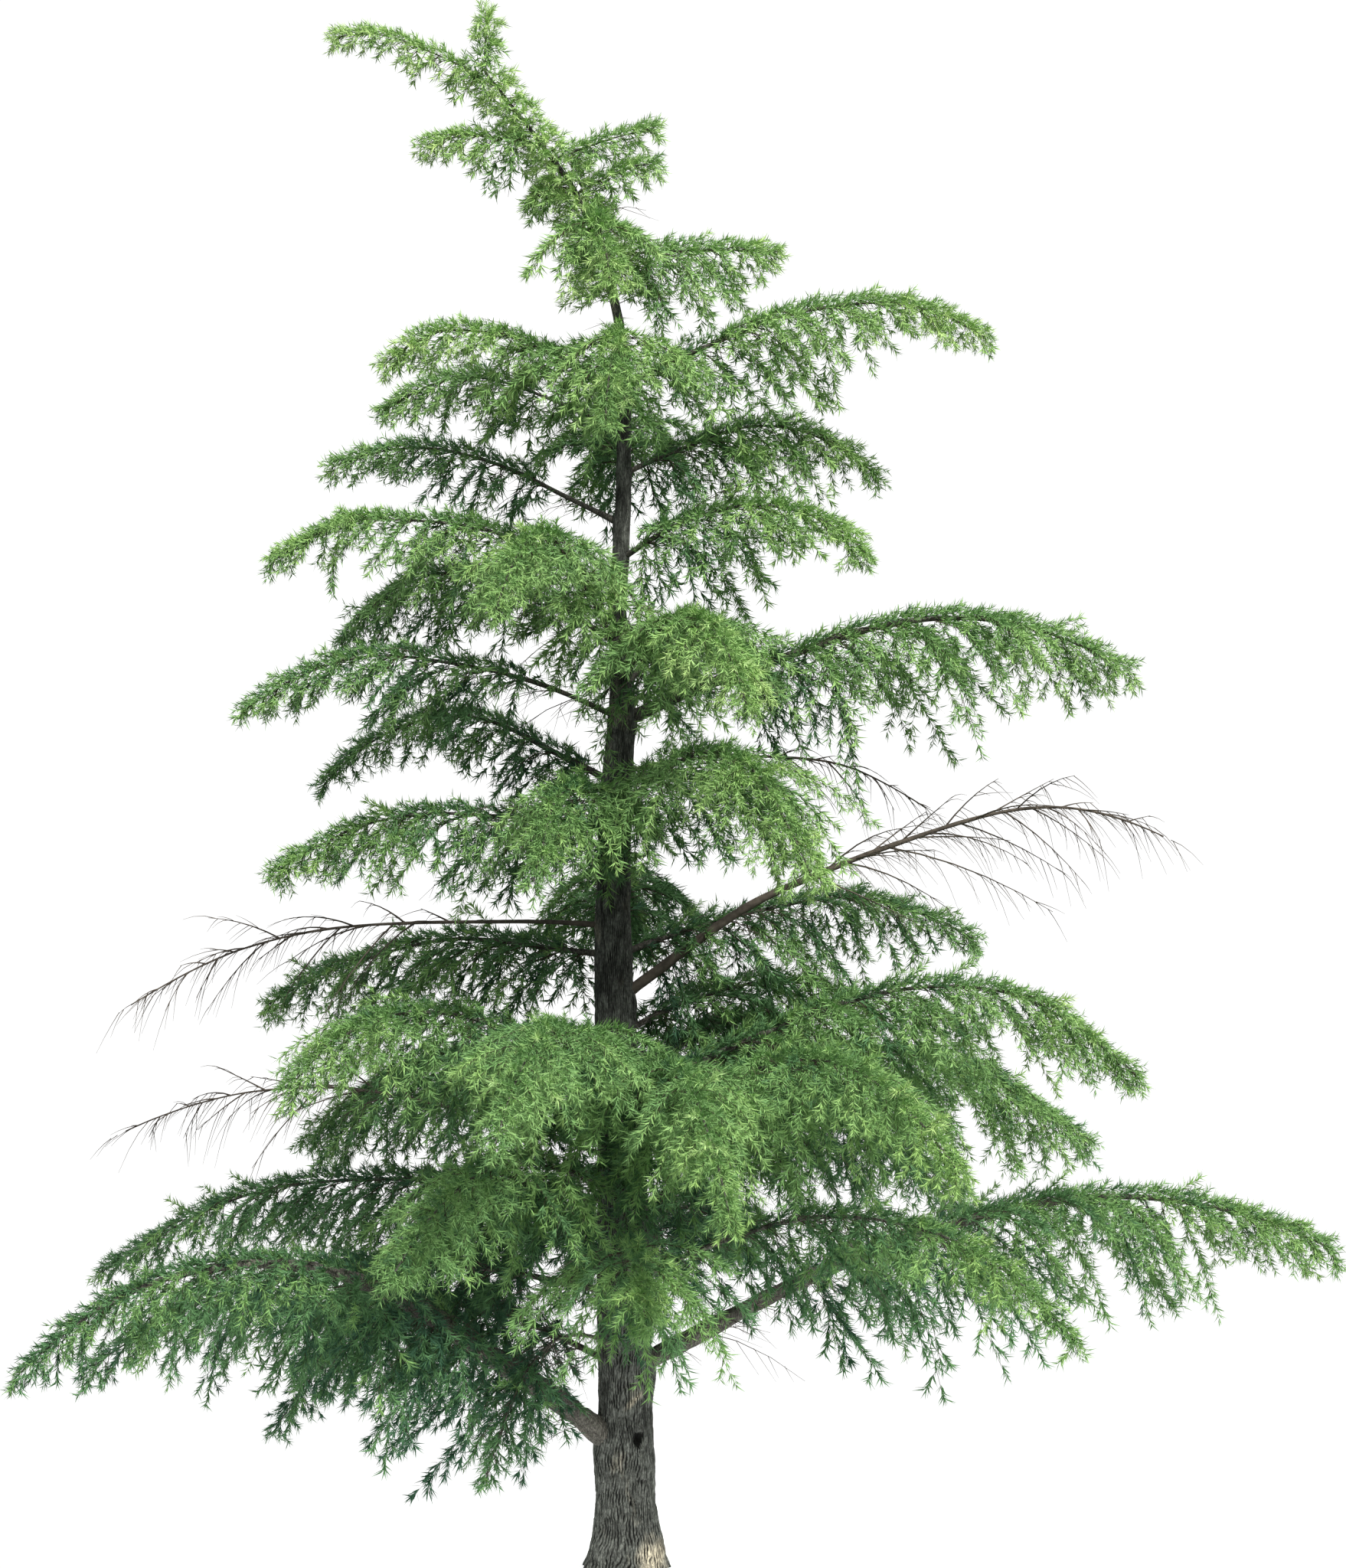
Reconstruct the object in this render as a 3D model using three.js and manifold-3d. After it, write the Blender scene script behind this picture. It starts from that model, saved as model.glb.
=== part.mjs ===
// A deodar cedar of about nine metres, as a three.js scene graph.
// Units are millimetres, +Z is up, and the origin is the middle of the flat cut at ground level.
// The trunk is one solid. Around it stand limbs, and each limb carries one mass of foliage or,
// on the dead limbs, one mass of bare twigs. Limbs whose wood shows before the needles begin
// are solids of their own, and on the others the stem of the mass runs from the trunk.
import * as THREE from "three";
import { mergeVertices } from "three/addons/utils/BufferGeometryUtils.js";
import Module from "manifold-3d";

const wasm = await Module();
wasm.setup();

// Clearances between solids
const SEAT_GAP = 0.3;
const SIMPLIFIED = 3;
const SPACE_MARGIN = 14;
const TRUNK_MARGIN = 35;

// Trunk: height, sideways place and diameter of its sections, from the ground to the tip
const TRUNK_SECTIONS = [
  { height: 0, x: 0, across: 494 },
  { height: 60, x: 3, across: 446 },
  { height: 180, x: 8, across: 402 },
  { height: 380, x: 2, across: 346 },
  { height: 590, x: 10, across: 325 },
  { height: 930, x: 2, across: 304 },
  { height: 1500, x: -6, across: 298 },
  { height: 2200, x: -12, across: 284 },
  { height: 3290, x: -60, across: 222 },
  { height: 3780, x: -68, across: 203 },
  { height: 4200, x: -58, across: 190 },
  { height: 4620, x: -36, across: 176 },
  { height: 4900, x: -16, across: 148 },
  { height: 5200, x: -22, across: 118 },
  { height: 5500, x: -42, across: 102 },
  { height: 6110, x: -8, across: 90 },
  { height: 6820, x: 0, across: 72 },
  { height: 7170, x: -34, across: 58 },
  { height: 7400, x: -84, across: 52 },
  { height: 7790, x: -220, across: 42 },
  { height: 7980, x: -322, across: 37 },
  { height: 8260, x: -530, across: 28 },
  { height: 8540, x: -754, across: 20 },
  { height: 8600, x: -800, across: 16 },
];
const TRUNK_TOP = TRUNK_SECTIONS[TRUNK_SECTIONS.length - 1].height;
const TRUNK_SIDES = 18;
const FLARE_LOBES = 5;
const FLARE_DEPTH = 0.09;
const FLARE_HEIGHT = 260;

// Limbs: name, height of the root on the trunk, tip, rise of the middle above the chord,
// diameter at the root, share of the length with no foliage, reach of the side twigs, and kind.
// A bough's wood shows before its mass begins, and the one of kind top stands on the trunk's end.
const LIMB_ROWS = [
  ["low_left", 655, [-3335, -1900, 1230], 840, 165, 0.13, 1180, "bough"],
  ["low_left_back", 2080, [-3230, 1600, 1510], 390, 60, 0.06, 1000, "leafy"],
  ["low_left_weep", 1220, [-800, -1300, 500], 500, 45, 0.6, 470, "leafy"],
  ["low_left_fan", 1570, [-3150, -300, 1090], 400, 60, 0.15, 1150, "leafy"],
  ["low_left_hang", 1130, [-2180, 1500, 520], 600, 55, 0.14, 950, "leafy"],
  ["low_left_front", 2140, [-1270, -2400, 1790], 420, 55, 0.08, 1000, "leafy"],
  ["low_front", 1610, [130, -2300, 1620], 300, 50, 0.3, 1000, "leafy"],
  ["low_right", 1120, [4170, 200, 1770], 590, 125, 0.23, 1380, "bough"],
  ["low_right_front", 1620, [2560, -1700, 1340], 620, 60, 0.25, 700, "leafy"],
  ["low_right_back", 2000, [2200, 2300, 1700], 620, 55, 0.4, 800, "leafy"],
  ["low_back_left", 1880, [-1930, 3000, 760], 650, 65, 0.08, 1000, "leafy"],
  ["low_back_right", 1790, [770, 3300, 1450], 400, 65, 0.08, 900, "leafy"],
  ["mid_left_front", 2630, [-1900, -1700, 2730], 560, 60, 0.06, 1200, "leafy"],
  ["mid_front", 2760, [-690, -2800, 2470], 560, 60, 0.06, 1000, "leafy"],
  ["mid_front_right", 2500, [600, -2900, 2110], 600, 60, 0.06, 1000, "leafy"],
  ["mid_right_front", 2410, [1880, -2200, 2310], 620, 65, 0.06, 1300, "leafy"],
  ["mid_right_low", 2560, [2860, 1400, 2270], 480, 60, 0.06, 1450, "leafy"],
  ["mid_right", 2630, [3000, -500, 2770], 620, 75, 0.06, 1300, "leafy"],
  ["mid_back_left", 2850, [-1950, 1700, 2260], 320, 60, 0.06, 1350, "leafy"],
  ["mid_back_right", 2720, [1340, 2800, 2370], 520, 60, 0.06, 1000, "leafy"],
  ["dead_left_low", 2330, [-3000, 300, 2440], 340, 38, 0.45, 750, "dead"],
  ["dead_left", 3690, [-2900, -400, 3190], 250, 42, 0.4, 800, "dead"],
  ["right_third", 3050, [1520, 1300, 3100], 250, 50, 0.1, 900, "leafy"],
  ["left_shade", 3520, [-2210, 1100, 3140], 230, 55, 0.06, 970, "leafy"],
  ["right_shade", 3510, [2150, 900, 3530], 300, 50, 0.06, 840, "leafy"],
  ["back_shade", 3640, [0, 2300, 3400], 450, 55, 0.06, 1000, "leafy"],
  ["dead_right", 3250, [3170, -300, 4160], 500, 80, 0.36, 1200, "dead_bough"],
  ["left_fourth", 4240, [-2040, -900, 3950], 250, 50, 0.08, 750, "leafy"],
  ["front_fourth", 4260, [-510, -1800, 3860], 420, 45, 0.08, 800, "leafy"],
  ["right_fourth", 4350, [1090, -1500, 3860], 560, 50, 0.05, 1350, "leafy"],
  ["left_fifth", 4880, [-2210, -900, 4840], 375, 50, 0.24, 640, "leafy"],
  ["left_fifth_low", 4500, [-1880, 1000, 4400], 430, 58, 0.06, 500, "leafy"],
  ["dead_right_high", 4570, [1850, 500, 4300], 235, 40, 0.4, 500, "dead"],
  ["right_fifth", 4860, [2980, -300, 5110], 420, 80, 0.2, 1220, "bough"],
  ["front_fifth", 5100, [720, -1900, 4770], 500, 50, 0.06, 900, "leafy"],
  ["back_fifth", 5050, [900, 1900, 4900], 450, 50, 0.06, 720, "leafy"],
  ["left_sixth", 5630, [-2060, -800, 5690], 340, 45, 0.06, 800, "leafy"],
  ["left_sixth_low", 5300, [-1770, 1100, 5230], 470, 45, 0.34, 760, "leafy"],
  ["front_sixth", 5190, [-720, -1800, 5320], 610, 55, 0.06, 850, "leafy"],
  ["right_sixth", 5800, [1430, -900, 5710], 330, 45, 0.05, 830, "leafy"],
  ["back_seventh", 6300, [-100, 1700, 6420], 350, 42, 0.05, 900, "leafy"],
  ["left_seventh", 6000, [-1810, 500, 6310], 250, 52, 0.24, 490, "leafy"],
  ["right_seventh", 6290, [1550, 500, 6220], 315, 40, 0.05, 780, "leafy"],
  ["left_eighth_low", 6510, [-1500, 600, 6620], 290, 38, 0.28, 600, "leafy"],
  ["left_eighth", 6690, [-1430, -700, 6780], 340, 38, 0.06, 630, "leafy"],
  ["front_eighth", 6740, [-100, -1300, 6340], 480, 38, 0.05, 900, "leafy"],
  ["right_eighth", 6800, [2160, -200, 7000], 345, 48, 0.08, 770, "leafy"],
  ["left_ninth", 7930, [-560, 0, 7830], 60, 16, 0.06, 300, "leafy"],
  ["front_ninth", 7740, [-60, -820, 7190], 200, 20, 0.06, 640, "leafy"],
  ["right_ninth", 7560, [950, 100, 7560], 25, 22, 0.06, 720, "leafy"],
  ["right_tenth", 7900, [234, -150, 8043], 60, 18, 0.06, 270, "leafy"],
  ["right_top", 8100, [250, -100, 8290], 20, 15, 0.06, 140, "leafy"],
  ["left_tenth", 8180, [-1240, 0, 8130], 90, 15, 0.06, 400, "leafy"],
  ["left_top", 8520, [-1750, 0, 8780], 120, 10, 0.08, 170, "leafy"],
  ["leader", 8600, [-800, 0, 9000], 0, 15, 0.1, 15, "top"],
];
const LIMBS = LIMB_ROWS.map(([name, root, tip, arch, girth, bare, reach, kind]) => {
  const flags = { bough: kind.includes("bough"), dead: kind.includes("dead") };
  return { name, root, tip, arch, girth, bare, reach, ...flags, onTop: kind === "top" };
});

// How far the crest of a limb's arch is moved towards its tip
const ARCH_LEAN = 0.3;
const LIMB_TAPER = 0.85;
const TIP_GIRTH = 14;
const BOUGH_SIDES = 8;
const BOUGH_STEPS = 5;
const STEM_SIDES = 3;
const STEM_STEPS = 4;

// Side twigs of a mass
const TWIG_SPACING = 345;
const FEWEST_TWIGS = 5;
const DEAD_TWIG_SPACING = 190;
const ANGLE_AT_ROOT = 66;
const ANGLE_AT_TIP = 36;
const ANGLE_SPREAD = 16;
const LAST_TWIG = 0.94;
const TWIG_SAG = 0.45;
const DEAD_TWIG_SAG = 0.3;
const TWIG_TRIES = [1, 0.85, 0.7, 0.56, 0.44];
const DEAD_TWIG_THICKNESS = 0.028;
const THINNEST_DEAD_TWIG = 5;

// Reach of the side twigs: its share at the first twig, its rise, its fall to the tip, its least
const REACH_AT_ROOT = 0.55;
const REACH_RISE = 1.6;
const REACH_FALL = 0.8;
const REACH_LEAST = 0.07;

// A spray: half the outline of its toothed blade, as shares of its length and width
const SPRAY_OUTLINE = [
  [0.74, 0.5],
  [0.6, 0.2],
  [1, 0],
];
const SPRAY_MIDDLE = 0.38;
const SPRAY_WIDTH = 0.84;
const SPRAY_THICKNESS = 0.06;
const SPRAY_SUNK = 1;
const LEFT_SIDE_SHORTER = 0.9;

// A long side twig carries three sprays, two beside it and one at its end: for each its place
// along the twig, how far it turns sideways, and its length as a share of the twig's
const LONG_TWIG = 780;
const LONG_TWIG_WOOD = 0.6;
const LONG_TWIG_SPRAYS = [
  [0.42, 0.9, 0.46],
  [0.66, -0.9, 0.44],
  [0.9, 0, 0.46],
];
const TWIG_THICKNESS = 0.03;

// The spray at the tip of each stem
const SHORTEST_END = 190;
const LONGEST_STEM = 0.86;
const END_SUNK = 20;
const END_ROLL = 0.8;

// Hanging sprays under the stem of a mass
const HANG_SPACING = 600;
const HANG_LENGTH = 0.75;
const HANG_SAG = 0.12;
const HANG_FORWARD = 0.5;
const HANG_SIDEWAYS = 0.4;
const HANG_DOWN = 0.9;
const LAST_HANGING = 0.96;

// Each mass keeps the room under its limb, so distances are taken from a point this much higher
const ROOM_BELOW = 160;

// Colours and finishes
const BARK = { color: 0x5b5148, roughness: 0.95, metalness: 0 };
const DEAD_WOOD = { color: 0x77695b, roughness: 0.95, metalness: 0 };
const NEEDLES = { color: 0x6f9a5c, roughness: 0.8, metalness: 0 };

const UP = new THREE.Vector3(0, 0, 1);

// A fixed number from 0 to 1 for each seed, the same in every run
function chance(seed) {
  const wave = Math.sin(seed * 12.9898 + 78.233) * 43758.5453;
  return wave - Math.floor(wave);
}

function mix(from, to, share) {
  return from + (to - from) * share;
}

// Place and diameter of the trunk at a height
function trunkAt(height) {
  const above = TRUNK_SECTIONS.findIndex((section) => section.height > height);
  const upper = above < 0 ? TRUNK_SECTIONS.length - 1 : Math.max(above, 1);
  const a = TRUNK_SECTIONS[upper - 1];
  const b = TRUNK_SECTIONS[upper];
  const share = Math.min(Math.max((height - a.height) / (b.height - a.height), 0), 1);
  return {
    centre: new THREE.Vector3(mix(a.x, b.x, share), 0, mix(a.height, b.height, share)),
    radius: mix(a.across, b.across, share) / 2,
  };
}

// Place along a limb's centreline: the chord from the trunk, arched upwards most past its middle
function limbPoint(limb, t) {
  const root = trunkAt(limb.root).centre;
  const tip = new THREE.Vector3(...limb.tip);
  const rise = 4 * limb.arch * t * (1 - t) * (1 + ARCH_LEAN * (2 * t - 1));
  return root.lerp(tip, t).addScaledVector(UP, rise);
}

function limbDirection(limb, t) {
  const step = 0.01;
  return limbPoint(limb, t + step).sub(limbPoint(limb, t - step)).normalize();
}

function limbRadius(limb, t) {
  const tip = Math.min(TIP_GIRTH, limb.girth * 0.6);
  return mix(limb.girth, tip, Math.pow(Math.min(Math.max(t, 0), 1), LIMB_TAPER)) / 2;
}

function limbLength(limb) {
  const middle = limbPoint(limb, 0.5);
  return middle.distanceTo(limbPoint(limb, 0)) + middle.distanceTo(limbPoint(limb, 1));
}

// A closed solid through rings of equal size, with a flat face or a point at its end
function solidFromRings(rings, tipPoint = null) {
  const sides = rings[0].length;
  const vertices = rings.flat();
  const triangles = [];
  for (let ring = 0; ring + 1 < rings.length; ring++)
    for (let side = 0; side < sides; side++) {
      const a = ring * sides + side;
      const b = ring * sides + ((side + 1) % sides);
      triangles.push([a, b, b + sides], [a, b + sides, a + sides]);
    }
  for (let side = 1; side + 1 < sides; side++) triangles.push([0, side + 1, side]);
  const last = (rings.length - 1) * sides;
  if (tipPoint) {
    vertices.push(tipPoint);
    for (let side = 0; side < sides; side++)
      triangles.push([last + side, last + ((side + 1) % sides), vertices.length - 1]);
  } else {
    for (let side = 1; side + 1 < sides; side++)
      triangles.push([last, last + side, last + side + 1]);
  }
  return solidOf(geometryOf(vertices, triangles));
}

function geometryOf(vertices, triangles) {
  const geometry = new THREE.BufferGeometry().setFromPoints(vertices);
  geometry.setIndex(triangles.flat());
  return geometry;
}

// A manifold solid of a closed geometry, turned the right way out
function solidOf(geometry) {
  const merged = mergeVertices(geometry, 1e-3);
  const build = (triVerts) =>
    new wasm.Manifold(
      new wasm.Mesh({ numProp: 3, vertProperties: merged.attributes.position.array, triVerts }),
    );
  const faces = new Uint32Array(merged.index.array);
  const solid = build(faces);
  if (solid.volume() > 0) return solid;
  return build(faces.reverse());
}

function geometryFromSolid(solid) {
  const mesh = solid.getMesh();
  const positions = new Float32Array(mesh.numVert * 3);
  for (let i = 0; i < mesh.numVert; i++)
    positions.set(mesh.vertProperties.subarray(i * mesh.numProp, i * mesh.numProp + 3), i * 3);
  const geometry = new THREE.BufferGeometry();
  geometry.setAttribute("position", new THREE.BufferAttribute(positions, 3));
  geometry.setIndex(new THREE.BufferAttribute(new Uint32Array(mesh.triVerts), 1));
  geometry.computeVertexNormals();
  return geometry;
}

// The level direction square to another one
function levelAcross(direction) {
  const across = new THREE.Vector3().crossVectors(direction, UP);
  if (across.lengthSq() < 1e-4) across.set(1, 0, 0);
  return across.normalize();
}

// A ring of points round a centre, square to a direction
function ringOf(centre, direction, radius, sides, shape = () => 1) {
  const across = levelAcross(direction);
  const over = new THREE.Vector3().crossVectors(across, direction).normalize();
  return Array.from({ length: sides }, (_, side) => {
    const turn = (side / sides) * 2 * Math.PI;
    const r = radius * shape(turn);
    return centre
      .clone()
      .addScaledVector(across, r * Math.cos(turn))
      .addScaledVector(over, r * Math.sin(turn));
  });
}

// The trunk, with level sections so that its foot is a flat cut, grown outwards by a margin
function trunkSolid(margin = 0) {
  const flare = (height) => (turn) =>
    1 + FLARE_DEPTH * Math.exp(-height / FLARE_HEIGHT) * Math.cos(FLARE_LOBES * turn);
  const rings = TRUNK_SECTIONS.map((section) => {
    const height = section.height > 0 ? section.height : -margin;
    const centre = new THREE.Vector3(section.x, 0, height);
    return ringOf(centre, UP, section.across / 2 + margin, TRUNK_SIDES, flare(section.height));
  });
  const top = rings[rings.length - 1];
  top.forEach((point) => (point.z += margin));
  return solidFromRings(rings);
}

// The wood of a limb between two shares of its length
function limbSolid(limb, from, to, sides, steps, pointed) {
  const rings = [];
  for (let step = 0; step <= steps; step++) {
    const t = mix(from, to, step / steps);
    if (pointed && step === steps) continue;
    rings.push(ringOf(limbPoint(limb, t), limbDirection(limb, t), limbRadius(limb, t), sides));
  }
  return solidFromRings(rings, pointed ? limbPoint(limb, to) : null);
}

// Sampled centrelines, for finding whose space a point is in
const LIMB_SAMPLES = 14;
const centrelines = LIMBS.map((limb) =>
  Array.from({ length: LIMB_SAMPLES + 1 }, (_, i) => limbPoint(limb, i / LIMB_SAMPLES)),
);

function distanceToLine(point, line) {
  const nearest = new THREE.Vector3();
  const span = new THREE.Line3();
  let least = Infinity;
  for (let i = 0; i + 1 < line.length; i++) {
    span.set(line[i], line[i + 1]).closestPointToPoint(point, true, nearest);
    least = Math.min(least, nearest.distanceTo(point));
  }
  return least;
}

// A point belongs to the limb whose wood is nearest, and stays clear of trunk and limbs
function inSpace(point, index) {
  const trunk = trunkAt(point.z);
  const beside = Math.hypot(point.x - trunk.centre.x, point.y);
  if (point.z < TRUNK_MARGIN) return false;
  if (point.z < TRUNK_TOP && beside < trunk.radius + TRUNK_MARGIN) return false;
  const raised = point.clone().addScaledVector(UP, ROOM_BELOW);
  const own = distanceToLine(raised, centrelines[index]);
  return centrelines.every((line, other) => {
    if (other === index) return true;
    if (distanceToLine(point, line) < limbRadius(LIMBS[other], 0) + SPACE_MARGIN) return false;
    return own + SPACE_MARGIN < distanceToLine(raised, line);
  });
}

// How far side twigs reach along the foliage, as a share of the limb's reach
function reachShare(s) {
  return Math.min(1, REACH_AT_ROOT + REACH_RISE * s) * Math.pow(1 - s, REACH_FALL) + REACH_LEAST;
}

function twigPoint(twig, u) {
  return twig.base
    .clone()
    .addScaledVector(twig.direction, twig.length * u)
    .addScaledVector(UP, -twig.sag * twig.length * u * u);
}

// Side twigs to the left and right in turn, leaning forward and hanging at their ends
function sideTwigs(limb, index) {
  const spacing = limb.dead ? DEAD_TWIG_SPACING : TWIG_SPACING;
  const leafy = limbLength(limb) * (1 - limb.bare);
  const count = Math.max(FEWEST_TWIGS, Math.round(leafy / spacing));
  return Array.from({ length: count }, (_, k) => {
    const seed = index * 101 + k * 7;
    const s = (k + 0.3 + 0.4 * chance(seed)) / count;
    const t = mix(limb.bare, LAST_TWIG, s);
    const along = limbDirection(limb, t);
    const sideways = levelAcross(along);
    const side = k % 2 ? 1 : -1;
    const lean = mix(ANGLE_AT_ROOT, ANGLE_AT_TIP, s) + ANGLE_SPREAD * (chance(seed + 1) - 0.5);
    const angle = THREE.MathUtils.degToRad(lean);
    const direction = along
      .clone()
      .multiplyScalar(Math.cos(angle))
      .addScaledVector(sideways, side * Math.sin(angle))
      .addScaledVector(UP, 0.25 * (chance(seed + 2) - 0.3))
      .normalize();
    const length = limb.reach * reachShare(s) * mix(0.88, 1.12, chance(seed + 3));
    const sag = (limb.dead ? DEAD_TWIG_SAG : TWIG_SAG) * mix(0.6, 1.4, chance(seed + 4));
    const roll = 2 * (chance(seed + 5) - 0.5);
    return { base: limbPoint(limb, t), direction, length, sag, roll, index };
  });
}

// Sprays that hang from the stem between the side twigs, with their flat faces turned about
function hangingTwigs(limb, index) {
  const leafy = limbLength(limb) * (1 - limb.bare);
  const count = Math.max(2, Math.round(leafy / HANG_SPACING));
  return Array.from({ length: count }, (_, k) => {
    const seed = index * 101 + k * 7 + 53;
    const s = (k + 0.6 + 0.3 * chance(seed)) / count;
    const t = mix(limb.bare, LAST_HANGING, s);
    const turn = 2 * Math.PI * chance(seed + 1);
    const direction = limbDirection(limb, t)
      .multiplyScalar(HANG_FORWARD)
      .add(new THREE.Vector3(Math.cos(turn), Math.sin(turn), 0).multiplyScalar(HANG_SIDEWAYS))
      .addScaledVector(UP, -HANG_DOWN)
      .normalize();
    const length = HANG_LENGTH * limb.reach * reachShare(s) * mix(0.9, 1.3, chance(seed + 3));
    const roll = 3 * (chance(seed + 5) - 0.5);
    return { base: limbPoint(limb, t), direction, length, sag: HANG_SAG, roll, index };
  });
}

// How far along its limb a leafy stem ends, where the end spray takes over
function stemEnd(limb) {
  return Math.min(LONGEST_STEM, 1 - SHORTEST_END / limbLength(limb));
}

// The leafy end of the stem, sunk in its last ring, which reaches the limb's own tip
function endTwig(limb, index) {
  const end = stemEnd(limb);
  const base = limbPoint(limb, end).addScaledVector(limbDirection(limb, end), -END_SUNK);
  const direction = limbPoint(limb, 1).sub(base);
  const length = direction.length();
  return { base, direction: direction.normalize(), length, sag: 0, roll: END_ROLL, index };
}

// A bare twig of three sides that ends in a point
function deadTwigSolid(twig) {
  const thick = Math.max((twig.length * DEAD_TWIG_THICKNESS) / 2, THINNEST_DEAD_TWIG);
  const start = twigPoint(twig, 0);
  const middle = twigPoint(twig, 0.5);
  const rings = [
    ringOf(start, twig.direction, thick, 3),
    ringOf(middle, twigPoint(twig, 1).sub(start).normalize(), thick * 0.6, 3),
  ];
  return solidFromRings(rings, twigPoint(twig, 1));
}

// A spray of needles as a toothed blade that opens from a sunk foot: its rim runs out along one
// side and back along the other, and faces fan from a raised and a lowered middle to the rim
function spraySolid(twig) {
  const along = twig.direction;
  const across = levelAcross(along).applyAxisAngle(along, twig.roll);
  const over = new THREE.Vector3().crossVectors(across, along).normalize();
  const width = twig.length * SPRAY_WIDTH;
  const place = (forward, sideways) =>
    twigPoint(twig, forward).addScaledVector(across, sideways * width);
  const right = SPRAY_OUTLINE.map(([forward, sideways]) => place(forward, sideways));
  const left = SPRAY_OUTLINE.slice(0, -1)
    .reverse()
    .map(([forward, sideways]) => place(forward * LEFT_SIDE_SHORTER, -sideways));
  const blade = [...right, ...left];
  const halfway = (point, i) => point.clone().lerp(blade[(i + 1) % blade.length], 0.5);
  const probes = blade.flatMap((point, i) => [point, halfway(point, i)]);
  if (!probes.every((point) => inSpace(point, twig.index))) return null;
  const rim = [twig.base.clone().addScaledVector(along, -SPRAY_SUNK), ...blade];
  const half = (twig.length * SPRAY_THICKNESS) / 2;
  const high = place(SPRAY_MIDDLE, 0).addScaledVector(over, half);
  const low = place(SPRAY_MIDDLE, 0).addScaledVector(over, -half);
  const n = rim.length;
  const triangles = rim.flatMap((_, i) => [
    [i, (i + 1) % n, n + 1],
    [(i + 1) % n, i, n],
  ]);
  return solidOf(geometryOf([...rim, high, low], triangles));
}

// A long side twig: a thin spike with a spray to either side and one over its end
function longTwigSolids(twig) {
  const start = twig.base;
  const end = twigPoint(twig, LONG_TWIG_WOOD);
  const outward = end.clone().sub(start).normalize();
  const sideways = levelAcross(outward);
  const branches = LONG_TWIG_SPRAYS.map(([share, turn, length]) => ({
    ...twig,
    base: start.clone().lerp(end, share),
    direction: outward.clone().addScaledVector(sideways, turn).normalize(),
    length: twig.length * length,
  }));
  const sprays = branches.map(spraySolid);
  if (!sprays.every(Boolean)) return null;
  const thick = (twig.length * TWIG_THICKNESS) / 2;
  return [solidFromRings([ringOf(start, outward, thick, 3)], end), ...sprays];
}

// The longest form of a leafy twig that keeps to its own space, or none
function fittedTwig(twig) {
  for (const share of TWIG_TRIES) {
    const shorter = { ...twig, length: twig.length * share };
    const long = shorter.length > LONG_TWIG && longTwigSolids(shorter);
    if (long) return long;
    const spray = spraySolid(shorter);
    if (spray) return [spray];
  }
  return [];
}

function fittedDeadTwig(twig) {
  for (const share of TWIG_TRIES) {
    const shorter = { ...twig, length: twig.length * share };
    const fits = [0.35, 0.7, 1].every((u) => inSpace(twigPoint(shorter, u), twig.index));
    if (fits) return [deadTwigSolid(shorter)];
  }
  return [];
}

// The largest body of a solid, so that no loose scrap stays
function largestBody(solid) {
  return solid.decompose().reduce((best, body) => (body.volume() > best.volume() ? body : best));
}

// The foliage of one limb: stem, side twigs and hanging sprays in one solid, seated on its wood
function massSolid(limb, index, grownTrunk) {
  const start = limb.bough ? limb.bare : 0;
  const nearby = 0.001;
  const travel = limbPoint(limb, start).distanceTo(limbPoint(limb, start + nearby)) / nearby;
  const clear = SEAT_GAP / travel;
  const from = limb.bough || limb.onTop ? start + clear : 0;
  const to = limb.dead ? 1 : stemEnd(limb);
  const parts = [limbSolid(limb, from, to, STEM_SIDES, STEM_STEPS, limb.dead)];
  if (limb.dead) {
    for (const twig of sideTwigs(limb, index)) parts.push(...fittedDeadTwig(twig));
  } else {
    const twigs = [...sideTwigs(limb, index), ...hangingTwigs(limb, index), endTwig(limb, index)];
    for (const twig of twigs) parts.push(...fittedTwig(twig));
  }
  const joined = parts.reduce((whole, part) => whole.add(part)).simplify(SIMPLIFIED);
  return largestBody(limb.bough || limb.onTop ? joined : joined.subtract(grownTrunk));
}

function boughSolid(limb, grownTrunk) {
  const wood = limbSolid(limb, 0, limb.bare, BOUGH_SIDES, BOUGH_STEPS, false);
  return largestBody(wood.subtract(grownTrunk));
}

function namedMesh(name, solid, finish) {
  const mesh = new THREE.Mesh(geometryFromSolid(solid), new THREE.MeshStandardMaterial(finish));
  mesh.name = name;
  return mesh;
}

const tree = new THREE.Group();
const grownTrunk = trunkSolid(SEAT_GAP);
tree.add(namedMesh("trunk", trunkSolid(), BARK));
LIMBS.forEach((limb, index) => {
  if (limb.bough) tree.add(namedMesh(`bough_${limb.name}`, boughSolid(limb, grownTrunk), BARK));
  const kind = limb.dead ? "twigs" : "foliage";
  const finish = limb.dead ? DEAD_WOOD : NEEDLES;
  tree.add(namedMesh(`${kind}_${limb.name}`, massSolid(limb, index, grownTrunk), finish));
});

export default tree;
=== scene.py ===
# The looks of the cedar tree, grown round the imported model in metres.
# Trunk and boughs get bark with real relief. Each mass of foliage is grown again from its limb by
# the same rule as in the model, and carried on to finer twigs with tufts of needles.
import math

import bpy
import numpy as np
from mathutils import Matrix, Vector, noise


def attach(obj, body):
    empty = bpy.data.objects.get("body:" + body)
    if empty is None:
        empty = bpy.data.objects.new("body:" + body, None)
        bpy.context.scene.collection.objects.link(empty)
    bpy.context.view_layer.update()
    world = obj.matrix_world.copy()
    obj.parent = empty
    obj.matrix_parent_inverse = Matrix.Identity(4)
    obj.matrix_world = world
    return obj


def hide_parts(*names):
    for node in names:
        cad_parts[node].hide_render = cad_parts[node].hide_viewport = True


MM = 0.001
UP = Vector((0, 0, 1))

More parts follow.
